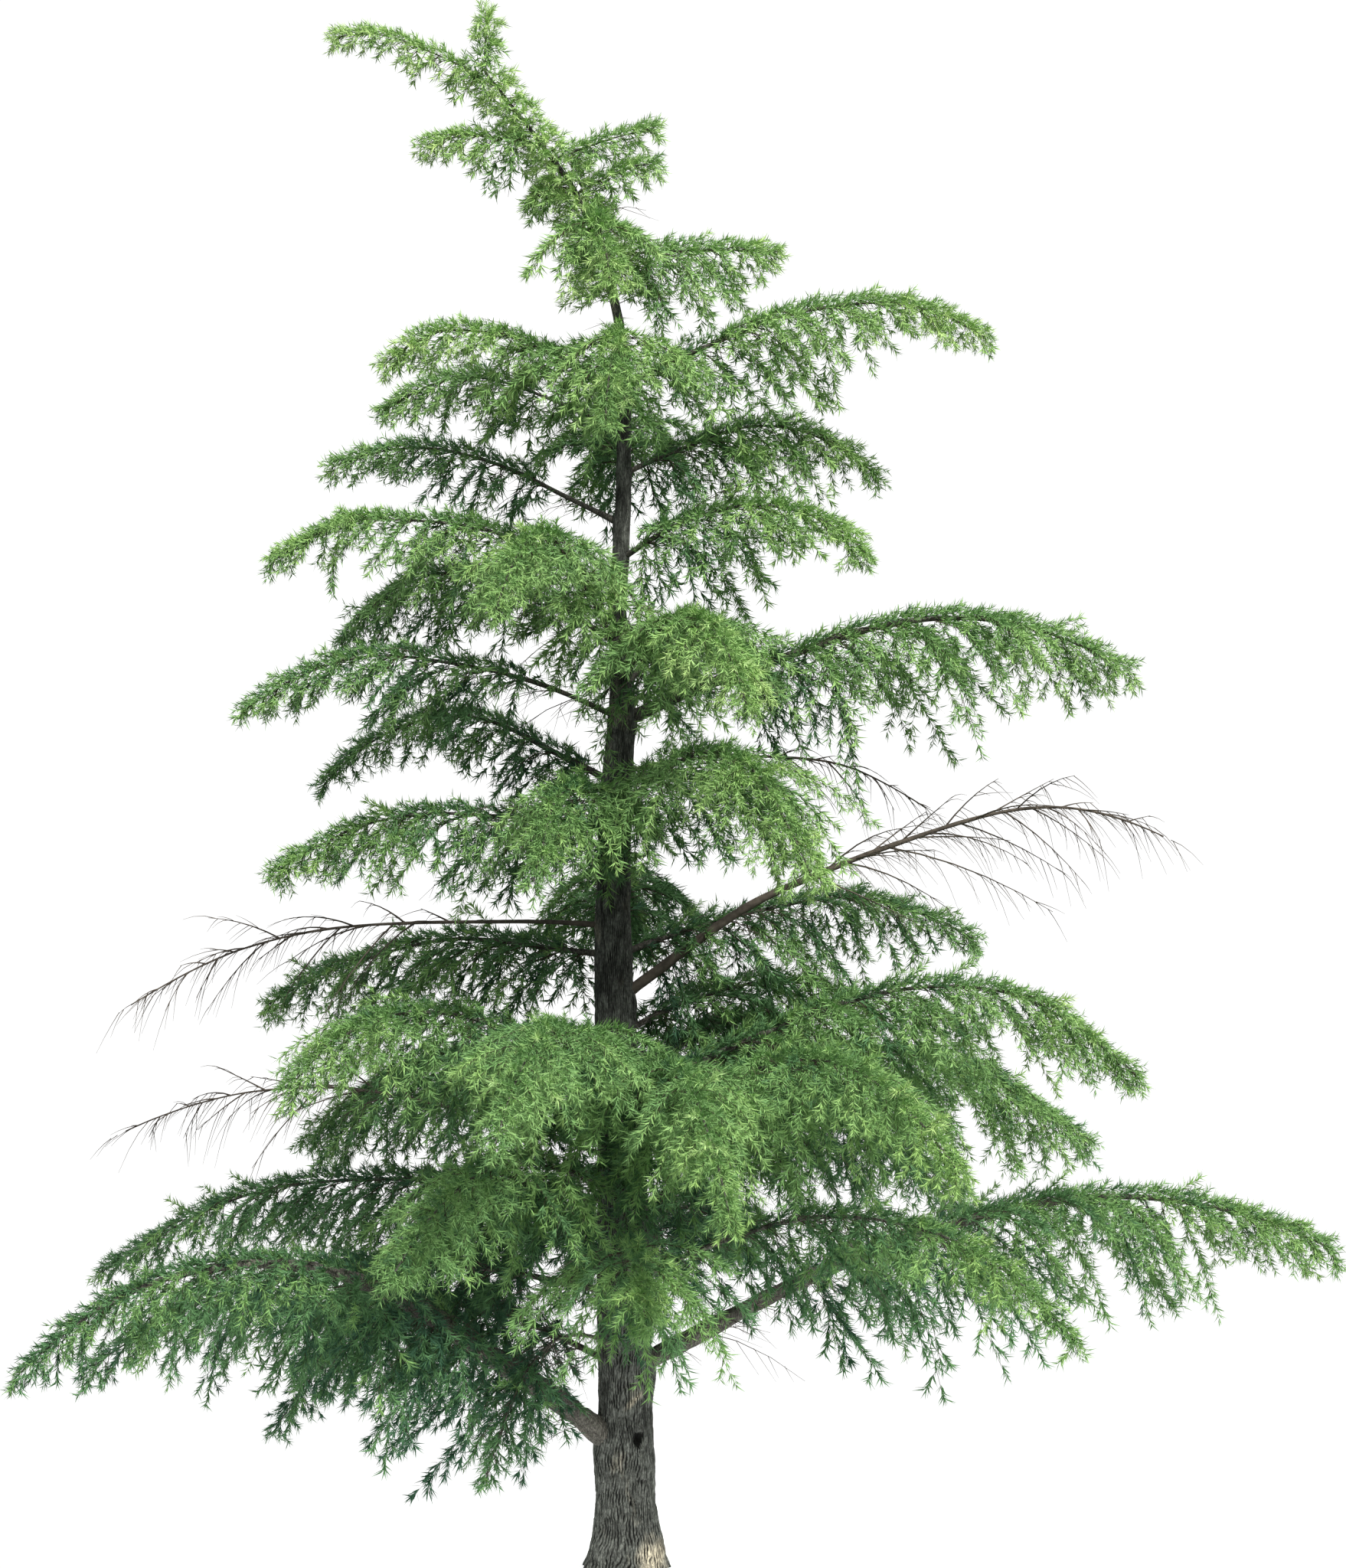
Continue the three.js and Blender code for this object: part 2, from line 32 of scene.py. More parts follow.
# Trunk sections in millimetres: height, sideways place, diameter
TRUNK_SECTIONS = [
    (0, 0, 494),
    (60, 3, 446),
    (180, 8, 402),
    (380, 2, 346),
    (590, 10, 325),
    (930, 2, 304),
    (1500, -6, 298),
    (2200, -12, 284),
    (3290, -60, 222),
    (3780, -68, 203),
    (4200, -58, 190),
    (4620, -36, 176),
    (4900, -16, 148),
    (5200, -22, 118),
    (5500, -42, 102),
    (6110, -8, 90),
    (6820, 0, 72),
    (7170, -34, 58),
    (7400, -84, 52),
    (7790, -220, 42),
    (7980, -322, 37),
    (8260, -530, 28),
    (8540, -754, 20),
    (8600, -800, 16),
]
FLARE_LOBES = 5
FLARE_DEPTH = 0.09
FLARE_HEIGHT = 0.26

# Limbs in millimetres: name, height of the root, tip, arch, diameter at the root, share of the
# length with no foliage, reach of the side twigs, kind
LIMB_ROWS = [
    ("low_left", 655, (-3335, -1900, 1230), 840, 165, 0.13, 1180, "bough"),
    ("low_left_back", 2080, (-3230, 1600, 1510), 390, 60, 0.06, 1000, "leafy"),
    ("low_left_weep", 1220, (-800, -1300, 500), 500, 45, 0.6, 470, "leafy"),
    ("low_left_fan", 1570, (-3150, -300, 1090), 400, 60, 0.15, 1150, "leafy"),
    ("low_left_hang", 1130, (-2180, 1500, 520), 600, 55, 0.14, 950, "leafy"),
    ("low_left_front", 2140, (-1270, -2400, 1790), 420, 55, 0.08, 1000, "leafy"),
    ("low_front", 1610, (130, -2300, 1620), 300, 50, 0.3, 1000, "leafy"),
    ("low_right", 1120, (4170, 200, 1770), 590, 125, 0.23, 1380, "bough"),
    ("low_right_front", 1620, (2560, -1700, 1340), 620, 60, 0.25, 700, "leafy"),
    ("low_right_back", 2000, (2200, 2300, 1700), 620, 55, 0.4, 800, "leafy"),
    ("low_back_left", 1880, (-1930, 3000, 760), 650, 65, 0.08, 1000, "leafy"),
    ("low_back_right", 1790, (770, 3300, 1450), 400, 65, 0.08, 900, "leafy"),
    ("mid_left_front", 2630, (-1900, -1700, 2730), 560, 60, 0.06, 1200, "leafy"),
    ("mid_front", 2760, (-690, -2800, 2470), 560, 60, 0.06, 1000, "leafy"),
    ("mid_front_right", 2500, (600, -2900, 2110), 600, 60, 0.06, 1000, "leafy"),
    ("mid_right_front", 2410, (1880, -2200, 2310), 620, 65, 0.06, 1300, "leafy"),
    ("mid_right_low", 2560, (2860, 1400, 2270), 480, 60, 0.06, 1450, "leafy"),
    ("mid_right", 2630, (3000, -500, 2770), 620, 75, 0.06, 1300, "leafy"),
    ("mid_back_left", 2850, (-1950, 1700, 2260), 320, 60, 0.06, 1350, "leafy"),
    ("mid_back_right", 2720, (1340, 2800, 2370), 520, 60, 0.06, 1000, "leafy"),
    ("dead_left_low", 2330, (-3000, 300, 2440), 340, 38, 0.45, 750, "dead"),
    ("dead_left", 3690, (-2900, -400, 3190), 250, 42, 0.4, 800, "dead"),
    ("right_third", 3050, (1520, 1300, 3100), 250, 50, 0.1, 900, "leafy"),
    ("left_shade", 3520, (-2210, 1100, 3140), 230, 55, 0.06, 970, "leafy"),
    ("right_shade", 3510, (2150, 900, 3530), 300, 50, 0.06, 840, "leafy"),
    ("back_shade", 3640, (0, 2300, 3400), 450, 55, 0.06, 1000, "leafy"),
    ("dead_right", 3250, (3170, -300, 4160), 500, 80, 0.36, 1200, "dead_bough"),
    ("left_fourth", 4240, (-2040, -900, 3950), 250, 50, 0.08, 750, "leafy"),
    ("front_fourth", 4260, (-510, -1800, 3860), 420, 45, 0.08, 800, "leafy"),
    ("right_fourth", 4350, (1090, -1500, 3860), 560, 50, 0.05, 1350, "leafy"),
    ("left_fifth", 4880, (-2210, -900, 4840), 375, 50, 0.24, 640, "leafy"),
    ("left_fifth_low", 4500, (-1880, 1000, 4400), 430, 58, 0.06, 500, "leafy"),
    ("dead_right_high", 4570, (1850, 500, 4300), 235, 40, 0.4, 500, "dead"),
    ("right_fifth", 4860, (2980, -300, 5110), 420, 80, 0.2, 1220, "bough"),
    ("front_fifth", 5100, (720, -1900, 4770), 500, 50, 0.06, 900, "leafy"),
    ("back_fifth", 5050, (900, 1900, 4900), 450, 50, 0.06, 720, "leafy"),
    ("left_sixth", 5630, (-2060, -800, 5690), 340, 45, 0.06, 800, "leafy"),
    ("left_sixth_low", 5300, (-1770, 1100, 5230), 470, 45, 0.34, 760, "leafy"),
    ("front_sixth", 5190, (-720, -1800, 5320), 610, 55, 0.06, 850, "leafy"),
    ("right_sixth", 5800, (1430, -900, 5710), 330, 45, 0.05, 830, "leafy"),
    ("back_seventh", 6300, (-100, 1700, 6420), 350, 42, 0.05, 900, "leafy"),
    ("left_seventh", 6000, (-1810, 500, 6310), 250, 52, 0.24, 490, "leafy"),
    ("right_seventh", 6290, (1550, 500, 6220), 315, 40, 0.05, 780, "leafy"),
    ("left_eighth_low", 6510, (-1500, 600, 6620), 290, 38, 0.28, 600, "leafy"),
    ("left_eighth", 6690, (-1430, -700, 6780), 340, 38, 0.06, 630, "leafy"),
    ("front_eighth", 6740, (-100, -1300, 6340), 480, 38, 0.05, 900, "leafy"),
    ("right_eighth", 6800, (2160, -200, 7000), 345, 48, 0.08, 770, "leafy"),
    ("left_ninth", 7930, (-560, 0, 7830), 60, 16, 0.06, 300, "leafy"),
    ("front_ninth", 7740, (-60, -820, 7190), 200, 20, 0.06, 640, "leafy"),
    ("right_ninth", 7560, (950, 100, 7560), 25, 22, 0.06, 720, "leafy"),
    ("right_tenth", 7900, (234, -150, 8043), 60, 18, 0.06, 270, "leafy"),
    ("right_top", 8100, (250, -100, 8290), 20, 15, 0.06, 140, "leafy"),
    ("left_tenth", 8180, (-1240, 0, 8130), 90, 15, 0.06, 400, "leafy"),
    ("left_top", 8520, (-1750, 0, 8780), 120, 10, 0.08, 170, "leafy"),
    ("leader", 8600, (-800, 0, 9000), 0, 15, 0.1, 15, "top"),
]

# Form of the limbs: the arch leans outward, and a tip is at most this share of the root's girth
ARCH_LEAN = 0.3
LIMB_TAPER = 0.42
BOUGH_TAPER = 0.75
DEAD_TAPER = 0.55
TIP_GIRTH = 7 * MM
MOST_TIP_GIRTH = 0.6
LIMB_WANDER = 0.018
WANDER_WAVES = 3.2
WANDER_SEED = 7

# A stem ends this far short of its tip, where a brush takes over, or this share if that is less
BRUSH_END = 0.10
MOST_BRUSH_END = 0.12

# How far side twigs reach along the foliage, as shares of the limb's reach
REACH_AT_ROOT = 0.55
REACH_RISE = 1.6
REACH_FALL = 0.8
REACH_LEAST = 0.07

# Bark of the trunk
TRUNK_SEGMENTS = 264
TRUNK_STEP = 0.0105
TRUNK_STEP_GROWTH = 1.0058
TRUNK_SWAY = 0.05
FULL_RELIEF_RADIUS = 0.15
LEAST_RELIEF = 0.22
RIDGE_COUNT = 62
RIDGE_DEPTH = 0.011
RIDGE_LEVEL = 0.7
GRAIN_DEPTH = 0.003
ROUGH_DEPTH = 0.001
PLATE_SIZE = (0.05, 0.11)
# How deep the cracks between plates go; the bark's colour darkens them with painted shade as well
PLATE_SHADE = 0.6

# Marks on the front of the trunk: sideways place and height, or size; the holes and the scar are
# darkened with painted shade
KNOT = (0.079, 0.75)
HOLE = (0.044, 0.384)
SCAR = (0.097, 0.511)
# The pale foot is a painted patch of sunlight
SUNLIT_FOOT = (0.155, 0.05)
SUNLIT_FOOT_SIZE = (0.10, 0.16)
PALE_STREAK = (0.055, 0.972)
PALE_STREAK_SIZE = (0.085, 0.022)
PAINTED_HOLE_SHADE = 26

# Swelling of the trunk round a limb: how far up and down, and shares of the limb's girth
COLLAR_REACH = 0.22
COLLAR_HEIGHT = 0.22
COLLAR_WIDTH = 0.7

# Wood of the limbs: sides of a ring and the step from ring to ring
BOUGH_RINGS = (26, 0.022)
STEM_RINGS = (10, 0.07)
DEAD_RINGS = (22, 0.03)
LIMB_PLATE_SIZE = (0.022, 0.09)
# How deep the cracks in the boughs go; the bark's colour darkens them with painted shade as well
LIMB_PLATE_SHADE = 0.62
LIMB_WOBBLE = 0.18
LIMB_CRACKS = 0.2
LIMB_GRAIN = 0.08

# Radians from one spray to the next round a stem
TURN_STEP = 2.4

# Side twigs. Where two values stand, here and below, each twig takes one between them, by chance
# or by its place along the limb.
TWIG_SPACING = 0.074
ANGLE_AT_ROOT = 66
ANGLE_AT_TIP = 36
ANGLE_SPREAD = 24
SIDE_LIFT = (-0.2, 0.4)
SIDE_LENGTH = (0.6, 1.08)
SIDE_RADIUS = (0.0045, 0.0028)
TWIG_SAG = 0.72
SAG_ALONG_LIMB = (1.1, 0.7)
SAG_SPREAD = (0.6, 1.4)
THIN_TWIG = 0.003
TWIG_TAPER = 0.75
TWIG_STEPS = 3
TWIG_SIDES = 3

# Hanging sprays
HANG_SPACING = 0.105
HANG_FORWARD = 0.6
HANG_SIDEWAYS = 0.4
HANG_DOWN = 0.8
HANG_LENGTH = (0.45, 1.1)
HANG_SAG = 0.15
LONGEST_HANG = 0.80

# Rising shoots
SHOOT_SPACING = 0.30
LAST_SHOOT = 0.92
SHOOT_SPREAD = 1.2
SHOOT_RISE = (0.35, 1.0)
SHOOT_LENGTH = (0.4, 1.0)
LONGEST_SHOOT = 0.4
SHORTER_AT_TIP = 0.55
SHOOT_SAG = 0.1

# Sub-twigs
SUB_SPACING = 0.112
SUB_ANGLE = 46
SUB_ANGLE_SPREAD = 20
SUB_PLACES = (0.12, 0.94)
SUB_LENGTH = (0.6, 1.25)
SUB_SHARE = 0.34
SUB_DROOP = 0.5
SHORTEST_SUB = 0.07
SUB_SAG = 0.3
SUB_RADIUS = 0.55
LONG_SUB = 0.18

# Shoots on the leafy top of the trunk, in the lightest greens: young growth, and painted light at the
# top
LEAFY_TRUNK = 7.27
LEADER_SPACING = 0.009
LEADER_LENGTH = (0.38, 0.10)
SHORTEST_LEADER_SHOOT = 0.08
LEADER_FORWARD = (0.2, 0.9)
LEADER_SAG = 0.35
LEADER_SHADE = (3.0, 4.6)

# Bare twigs near the trunk
BARE_SPACING = 0.055
FIRST_BARE_TWIG = 0.06
BARE_BEYOND = 0.25
LONGEST_BARE_TWIG = 0.9
BARE_RADIUS = 0.0035
BARE_SUB_SPACING = 0.12

# Dead branches and their twiglets
DEAD_BRANCH_SPACING = 0.085
LAST_DEAD_BRANCH = 0.95
DEAD_ANGLE = (22, 46)
DEAD_LENGTH = (0.35, 1.05)
DEAD_SAG = (0.02, 0.34)
DEAD_RADIUS = (0.0075, 0.0045)
DEAD_STEPS = 5
TWIGLET_SPACING = 0.050
TWIGLET_SPREAD = 1.3
TWIGLET_FORWARD = 0.7
TWIGLET_RISE = (0.2, -0.8)
TWIGLET_LENGTH = (0.06, 0.25)
TWIGLET_SAG = (0.1, 0.6)
TWIGLET_RADIUS = 0.0026

# Tufts of needles
TUFT_LENGTH = 0.075
TUFT_GAP_INSIDE = 0.088
TUFT_GAP_AT_TIP = 0.058
TUFT_SIZE = (0.85, 1.12)
TUFT_GROWTH = 0.7
TUFT_LIFT = 0.08
TUFT_SEED = 11
NEEDLES_PER_TUFT = 23
NEEDLE_LENGTH = 0.061
NEEDLE_LENGTHS = (0.75, 1.1)
NEEDLE_WIDTH = 0.0064
WIDEST_AT = 0.3
NEEDLE_TILT = (0.25, 1.0)
NEEDLE_TURN = 2.39996
NEEDLE_ROLL = 3.1416
TRUNK_CLEAR = 0.04
LOWEST_TUFT = 0.12
MOST_NEEDLES = 190000

# Spurs that hide the stem
SPUR_SPACING = 0.0135
SPUR_CROWDING = 0.85
SPUR_LENGTH = 0.03
SPUR_FORWARD = (0.8, 2.8)
SPUR_SIZE = 0.9
LOWEST_SPUR = -0.3

# Shade of a spray, counted in steps through the greens. It differs by limb and by chance, and grows
# lighter outward, partly for younger growth and partly as painted light. Painted shade falls low down,
# at the back, on the left and under hanging sprays; painted light falls above, at the top, in front and
# on the right.
BASE_SHADE = 0.42
OUTWARD_GROWTH_AND_LIGHT = 1.3
PAINTED_LIGHT_UPWARD = 0.16
MIDDLE_HEIGHT = 3
LOW_HEIGHT = 2.5
PAINTED_SHADE_LOW_DOWN = 0.4
TOP_HEIGHT = 6.5
PAINTED_LIGHT_AT_TOP = 0.5
PAINTED_SUNLIGHT_RIGHTWARD = 0.14
PAINTED_SHADE_BACKWARD = 0.22
LIMB_SHADE = 0.4
SPRAY_SHADE = 1.1
TWIG_TIP_SHADE = 1.1
TWIG_FOOT_SHADE = 0.2
PAINTED_HANG_SHADE = 0.3
SHOOT_SHADE = 0.7

# Greens from the shaded inside of the crown to the tips of its sprays: the needles' own range from old
# to young, and painted shade and light as well
GREENS = [
    (0.056, 0.142, 0.086),
    (0.102, 0.230, 0.108),
    (0.180, 0.350, 0.136),
    (0.268, 0.468, 0.180),
    (0.385, 0.590, 0.258),
]
WARMER = (1.35, 1.22, 1.05)

# Tones of the wood: the main tone, and the one that patches of it have; on the trunk that is also the
# tone of the painted sunlit patch at the foot and of the pale streak
TRUNK_TONES = ((0.089, 0.095, 0.087), (0.74, 0.67, 0.52))
BOUGH_TONES = ((0.078, 0.075, 0.066), (0.21, 0.18, 0.135))
TWIG_TONES = ((0.040, 0.032, 0.024), (0.090, 0.070, 0.050))
DEAD_TONES = ((0.060, 0.050, 0.042), (0.150, 0.128, 0.106))
# Plates lighter in random patches, partly a painted highlight on the ridges
LIGHTER_PLATES_AND_HIGHLIGHT = 2.7
# Painted shade in the furrows, cracks and fine furrows of the bark
PAINTED_FURROW_SHADE = 0.1
FURROW_SCALE = 95.0
FURROW_WIDTH = 0.09
OPEN_FURROW = 0.32
WHOLE_PLATE = 0.74
# How far the fine furrows are darkened with painted shade
RIDGE_SHARE = 0.6

# The photo's camera: level, at the middle of the tree's height
CAMERA_PLACE = (0.278, -32.0, 4.507)
CAMERA_TARGET = (0.278, 0.0, 4.507)
CAMERA_LENS = 127.6
CAMERA_SENSOR = 36
CAMERA_END = 200

# Studio light: the white surroundings from below and from above, and the sun
LIGHT_BELOW = 0.16
LIGHT_ABOVE = 0.95
BACKDROP = 1.05
SUN_STRENGTH = 3.9
SUN_WIDTH = 9
SUN_COLOUR = (1.0, 0.97, 0.90)
SUN_PLACE = (0.6, -0.75, 0.9)
FLOOR_RADIUS = 3.2
FLOOR_SIDES = 96
FLOOR_DEPTH = 0.002

# A wave so steep that its fractions look random
WAVE_STEP = 12.9898
WAVE_START = 78.233
WAVE_HEIGHT = 43758.5453


def chance(seed):
    """A fixed number from 0 to 1 for each seed, the same in every run."""
    wave = math.sin(seed * WAVE_STEP + WAVE_START) * WAVE_HEIGHT
    return wave - math.floor(wave)


def mix(start, end, share):
    return start + (end - start) * share


def on_circle(radius, turn, height=0):
    return Vector((radius * math.cos(turn), radius * math.sin(turn), height))


# Trunk and limbs as curves

LAST_SECTION = len(TRUNK_SECTIONS) - 1
TRUNK_TOP = TRUNK_SECTIONS[-1][0] * MM


def trunk_at(height):
    """Centre and radius of the trunk at a height, in metres."""
    upper = next((i for i, row in enumerate(TRUNK_SECTIONS) if row[0] * MM > height), LAST_SECTION)
    upper = max(upper, 1)
    a, b = TRUNK_SECTIONS[upper - 1], TRUNK_SECTIONS[upper]
    share = min(max((height / MM - a[0]) / (b[0] - a[0]), 0), 1)
    z, x, across = [mix(a[i], b[i], share) for i in range(3)]
    return Vector((x * MM, 0, z * MM)), across * MM / 2


class Limb:
    """One limb, from the middle of the trunk to its tip."""

    def __init__(self, index, row):
        name, root, tip, arch, girth, bare, reach, kind = row
        self.index = index
        self.name = name
        self.bare = bare
        self.root = trunk_at(root * MM)[0]
        self.tip = Vector(tip) * MM
        self.arch = arch * MM
        self.girth = girth * MM
        self.reach = reach * MM
        self.dead = "dead" in kind
        self.bough = "bough" in kind
        self.wander = LIMB_WANDER * (self.tip - self.root).length
        middle = self.point(0.5)
        self.length = (self.point(0) - middle).length + (middle - self.point(1)).length
        self.end = 1 - min(MOST_BRUSH_END, BRUSH_END / self.length)

    def point(self, t):
        place = Vector((self.index * 3.1, t * WANDER_WAVES, 0.5))
        bend = noise.noise_vector(place) * self.wander
        hold = min(1, 4 * t) * min(1, max(0, 4 * (1 - t)))
        rise = 4 * self.arch * t * (1 - t) * (1 + ARCH_LEAN * (2 * t - 1))
        return self.root.lerp(self.tip, t) + UP * rise + bend * hold

    def direction(self, t):
        return (self.point(t + 0.01) - self.point(t - 0.01)).normalized()

    def radius(self, t):
        tip = min(TIP_GIRTH, self.girth * MOST_TIP_GIRTH)
        taper = LIMB_TAPER
        if self.bough:
            taper = DEAD_TAPER if self.dead else BOUGH_TAPER
        return mix(self.girth, tip, min(max(t, 0), 1) ** taper) / 2

    def leafy(self, s):
        """The place along the limb of a share of its foliage."""
        return mix(self.bare, self.end, s)

    def node(self):
        return ("twigs_" if self.dead else "foliage_") + self.name


def reach_share(s):
    """How far side twigs reach along the foliage, as a share of the limb's reach."""
    return min(1, REACH_AT_ROOT + REACH_RISE * s) * (1 - s) ** REACH_FALL + REACH_LEAST


def level_across(direction):
    across = direction.cross(UP)
    return across.normalized() if across.length > 0.01 else Vector((1, 0, 0))


def round_stem(along, turn):
    """The direction outward from a stem at a turn round it."""
    across = level_across(along)
    return across * math.cos(turn) + across.cross(along) * math.sin(turn)


class Twig:
    """A thin twig that sags towards its end."""

    def __init__(self, base, direction, length, sag, radius, seed, shade, gap=TUFT_GAP_AT_TIP):
        self.base = base
        self.direction = direction
        self.length = length
        self.sag = sag
        self.radius = radius
        self.seed = seed
        self.shade = shade
        self.gap = gap

    def point(self, u):
        return self.base + self.direction * (self.length * u) - UP * (self.sag * self.length * u * u)

    def heading(self, u):
        return (self.direction - UP * (2 * self.sag * u)).normalized()

    def path(self, steps=TWIG_STEPS):
        """Points along the twig, each with its radius."""
        shares = [i / steps for i in range(steps + 1)]
        return [(self.point(u), self.radius * (1 - TWIG_TAPER * u)) for u in shares]


class Growth:
    """What grows on a group of limbs: twig paths, and tufts of needles."""

    def __init__(self):
        self.paths = []
        self.tufts = []
        self.nodes = []

    def add_tuft(self, place, aim, size, turn, shade):
        centre, radius = trunk_at(place.z)
        beside = math.hypot(place.x - centre.x, place.y)
        if place.z < LEAFY_TRUNK and beside < radius + TRUNK_CLEAR:
            return
        if place.z > LOWEST_TUFT:
            green = min(max(int(shade), 0), len(GREENS) - 1)
            self.tufts.append((place, aim, size, turn, green))

    def dress(self, twig, first):
        """Tufts along a twig from a share of its length on, larger where they lie far apart."""
        grown = twig.gap / TUFT_GAP_AT_TIP
        count = max(1, round(twig.length * (1 - first) / twig.gap))
        for i in range(count):
            u = mix(first, 1, (i + 0.3 * chance(twig.seed + i)) / count)
            turn = TURN_STEP * i + 6 * chance(twig.seed + i + 0.5)
            aim = (twig.heading(u) + UP * TUFT_LIFT).normalized()
            size = grown**TUFT_GROWTH * mix(*TUFT_SIZE, chance(twig.seed + 2 * i + 0.3))
            shade = twig.shade + TWIG_TIP_SHADE * u - TWIG_FOOT_SHADE
            self.add_tuft(twig.point(u), aim, size, turn, shade)

    def cover(self, limb):
        """Tufts on short spurs that hide the stem."""
        count = round(limb.length * (1 - limb.bare) / SPUR_SPACING)
        for k in range(count):
            seed = limb.index * 37 + k * 3
            s = ((k + chance(seed)) / count) ** SPUR_CROWDING
            t = limb.leafy(s)
            along = limb.direction(t)
            turn = TURN_STEP * k
            outward = round_stem(along, turn)
            if outward.z < LOWEST_SPUR:
                outward.z = -outward.z
            spur = limb.radius(t) + SPUR_LENGTH * chance(seed + 1)
            aim = (along * mix(*SPUR_FORWARD, chance(seed + 3)) + outward).normalized()
            shade = spray_tone_and_painted_light(limb, s, seed + 2)
            self.add_tuft(limb.point(t) + outward * spur, aim, SPUR_SIZE, turn, shade)


# The growth rule, as in the model but with twigs closer together


def tuft_gap(s):
    """Tufts lie closer together towards the tip of a limb, where nothing lies behind them."""
    return mix(TUFT_GAP_INSIDE, TUFT_GAP_AT_TIP, min(1, 1.4 * s))


def spray_tone_and_painted_light(limb, s, seed):
    """Darker inside the crown and lighter outside, partly for younger growth and partly as painted shade
    and light; painted shade low down, at the back and on the left, painted light above, in front and on
    the right; varied by limb and by chance.
    """
    place = limb.point(limb.leafy(s))
    # Painted light higher up and most at the top, painted shade low down
    height = PAINTED_LIGHT_UPWARD * (place.z - MIDDLE_HEIGHT)
    height += PAINTED_LIGHT_AT_TOP * max(0, place.z - TOP_HEIGHT) - PAINTED_SHADE_LOW_DOWN * max(0, LOW_HEIGHT - place.z)
    # Painted light on the right and in front, where the sun falls, painted shade on the left and at the
    # back
    side = PAINTED_SUNLIGHT_RIGHTWARD * place.x - PAINTED_SHADE_BACKWARD * place.y
    # Lighter outward: younger growth, and painted light outside the crown against painted shade inside
    shade = BASE_SHADE + OUTWARD_GROWTH_AND_LIGHT * s + height + side
    return shade + LIMB_SHADE * chance(limb.index * 5.3) + SPRAY_SHADE * chance(seed)


def side_twig(limb, k, count):
    """Side twigs to the left and right in turn, leaning forward and hanging at their ends."""
    seed = limb.index * 101 + k * 7
    s = (k + 0.3 + 0.4 * chance(seed)) / count
    t = limb.leafy(s)
    along = limb.direction(t)
    side = 1 if k % 2 else -1
    spread = ANGLE_SPREAD * (chance(seed + 1) - 0.5)
    angle = math.radians(mix(ANGLE_AT_ROOT, ANGLE_AT_TIP, s) + spread)
    lift = UP * mix(*SIDE_LIFT, chance(seed + 2))
    direction = along * math.cos(angle) + level_across(along) * (side * math.sin(angle)) + lift
    length = limb.reach * reach_share(s) * mix(*SIDE_LENGTH, chance(seed + 3))
    sag = TWIG_SAG * mix(*SAG_ALONG_LIMB, s) * mix(*SAG_SPREAD, chance(seed + 4))
    radius = mix(*SIDE_RADIUS, s)
    shade = spray_tone_and_painted_light(limb, s, seed + 6)
    return Twig(limb.point(t), direction.normalized(), length, sag, radius, seed, shade, tuft_gap(s))


def hanging_twig(limb, k, count):
    """Sprays that hang from the stem between the side twigs."""
    seed = limb.index * 101 + k * 7 + 53
    s = (k + 0.6 + 0.3 * chance(seed)) / count
    t = limb.leafy(s)
    turn = 2 * math.pi * chance(seed + 1)
    swing = on_circle(HANG_SIDEWAYS, turn, -HANG_DOWN)
    direction = (limb.direction(t) * HANG_FORWARD + swing).normalized()
    most = min(LONGEST_HANG, limb.reach * reach_share(s))
    length = most * mix(*HANG_LENGTH, chance(seed + 3))
    # Hanging sprays get painted shade, a step darker than the twigs above them
    shade = spray_tone_and_painted_light(limb, s, seed + 6) - PAINTED_HANG_SHADE
    return Twig(limb.point(t), direction, length, HANG_SAG, THIN_TWIG, seed, shade, tuft_gap(s))


def rising_shoot(limb, k, count):
    """Young shoots that stand up from the stem."""
    seed = limb.index * 101 + k * 7 + 29
    s = LAST_SHOOT * (k + 0.2 + 0.6 * chance(seed)) / count
    t = limb.leafy(s)
    turn = SHOOT_SPREAD * (chance(seed + 1) - 0.5)
    along = limb.direction(t)
    direction = along + level_across(along) * turn + UP * mix(*SHOOT_RISE, chance(seed + 2))
    most = LONGEST_SHOOT * min(1, limb.reach) * (1 - SHORTER_AT_TIP * s)
    length = most * mix(*SHOOT_LENGTH, chance(seed + 3))
    shade = spray_tone_and_painted_light(limb, s, seed + 6) + SHOOT_SHADE
    return Twig(limb.point(t), direction.normalized(), length, SHOOT_SAG, THIN_TWIG, seed, shade)


def sub_twigs(twig, spacing, share, droop):
    """Finer twigs left and right of a twig, drooping more than it does."""
    count = max(2, round(twig.length / spacing))
    for k in range(count):
        seed = twig.seed * 3.7 + k * 11
        u = mix(*SUB_PLACES, (k + 0.5 * chance(seed)) / count)
        heading = twig.heading(u)
        angle = math.radians(SUB_ANGLE + SUB_ANGLE_SPREAD * (chance(seed + 1) - 0.5))
        side = level_across(heading) * ((1 if k % 2 else -1) * math.sin(angle))
        direction = heading * math.cos(angle) + side - UP * (droop * chance(seed + 2))
        length = share * twig.length * (1 - u) + SHORTEST_SUB
        length *= mix(*SUB_LENGTH, chance(seed + 3))
        radius = twig.radius * SUB_RADIUS
        shade = twig.shade + 0.3 * u
        yield Twig(twig.point(u), direction.normalized(), length, SUB_SAG, radius, seed, shade, twig.gap)


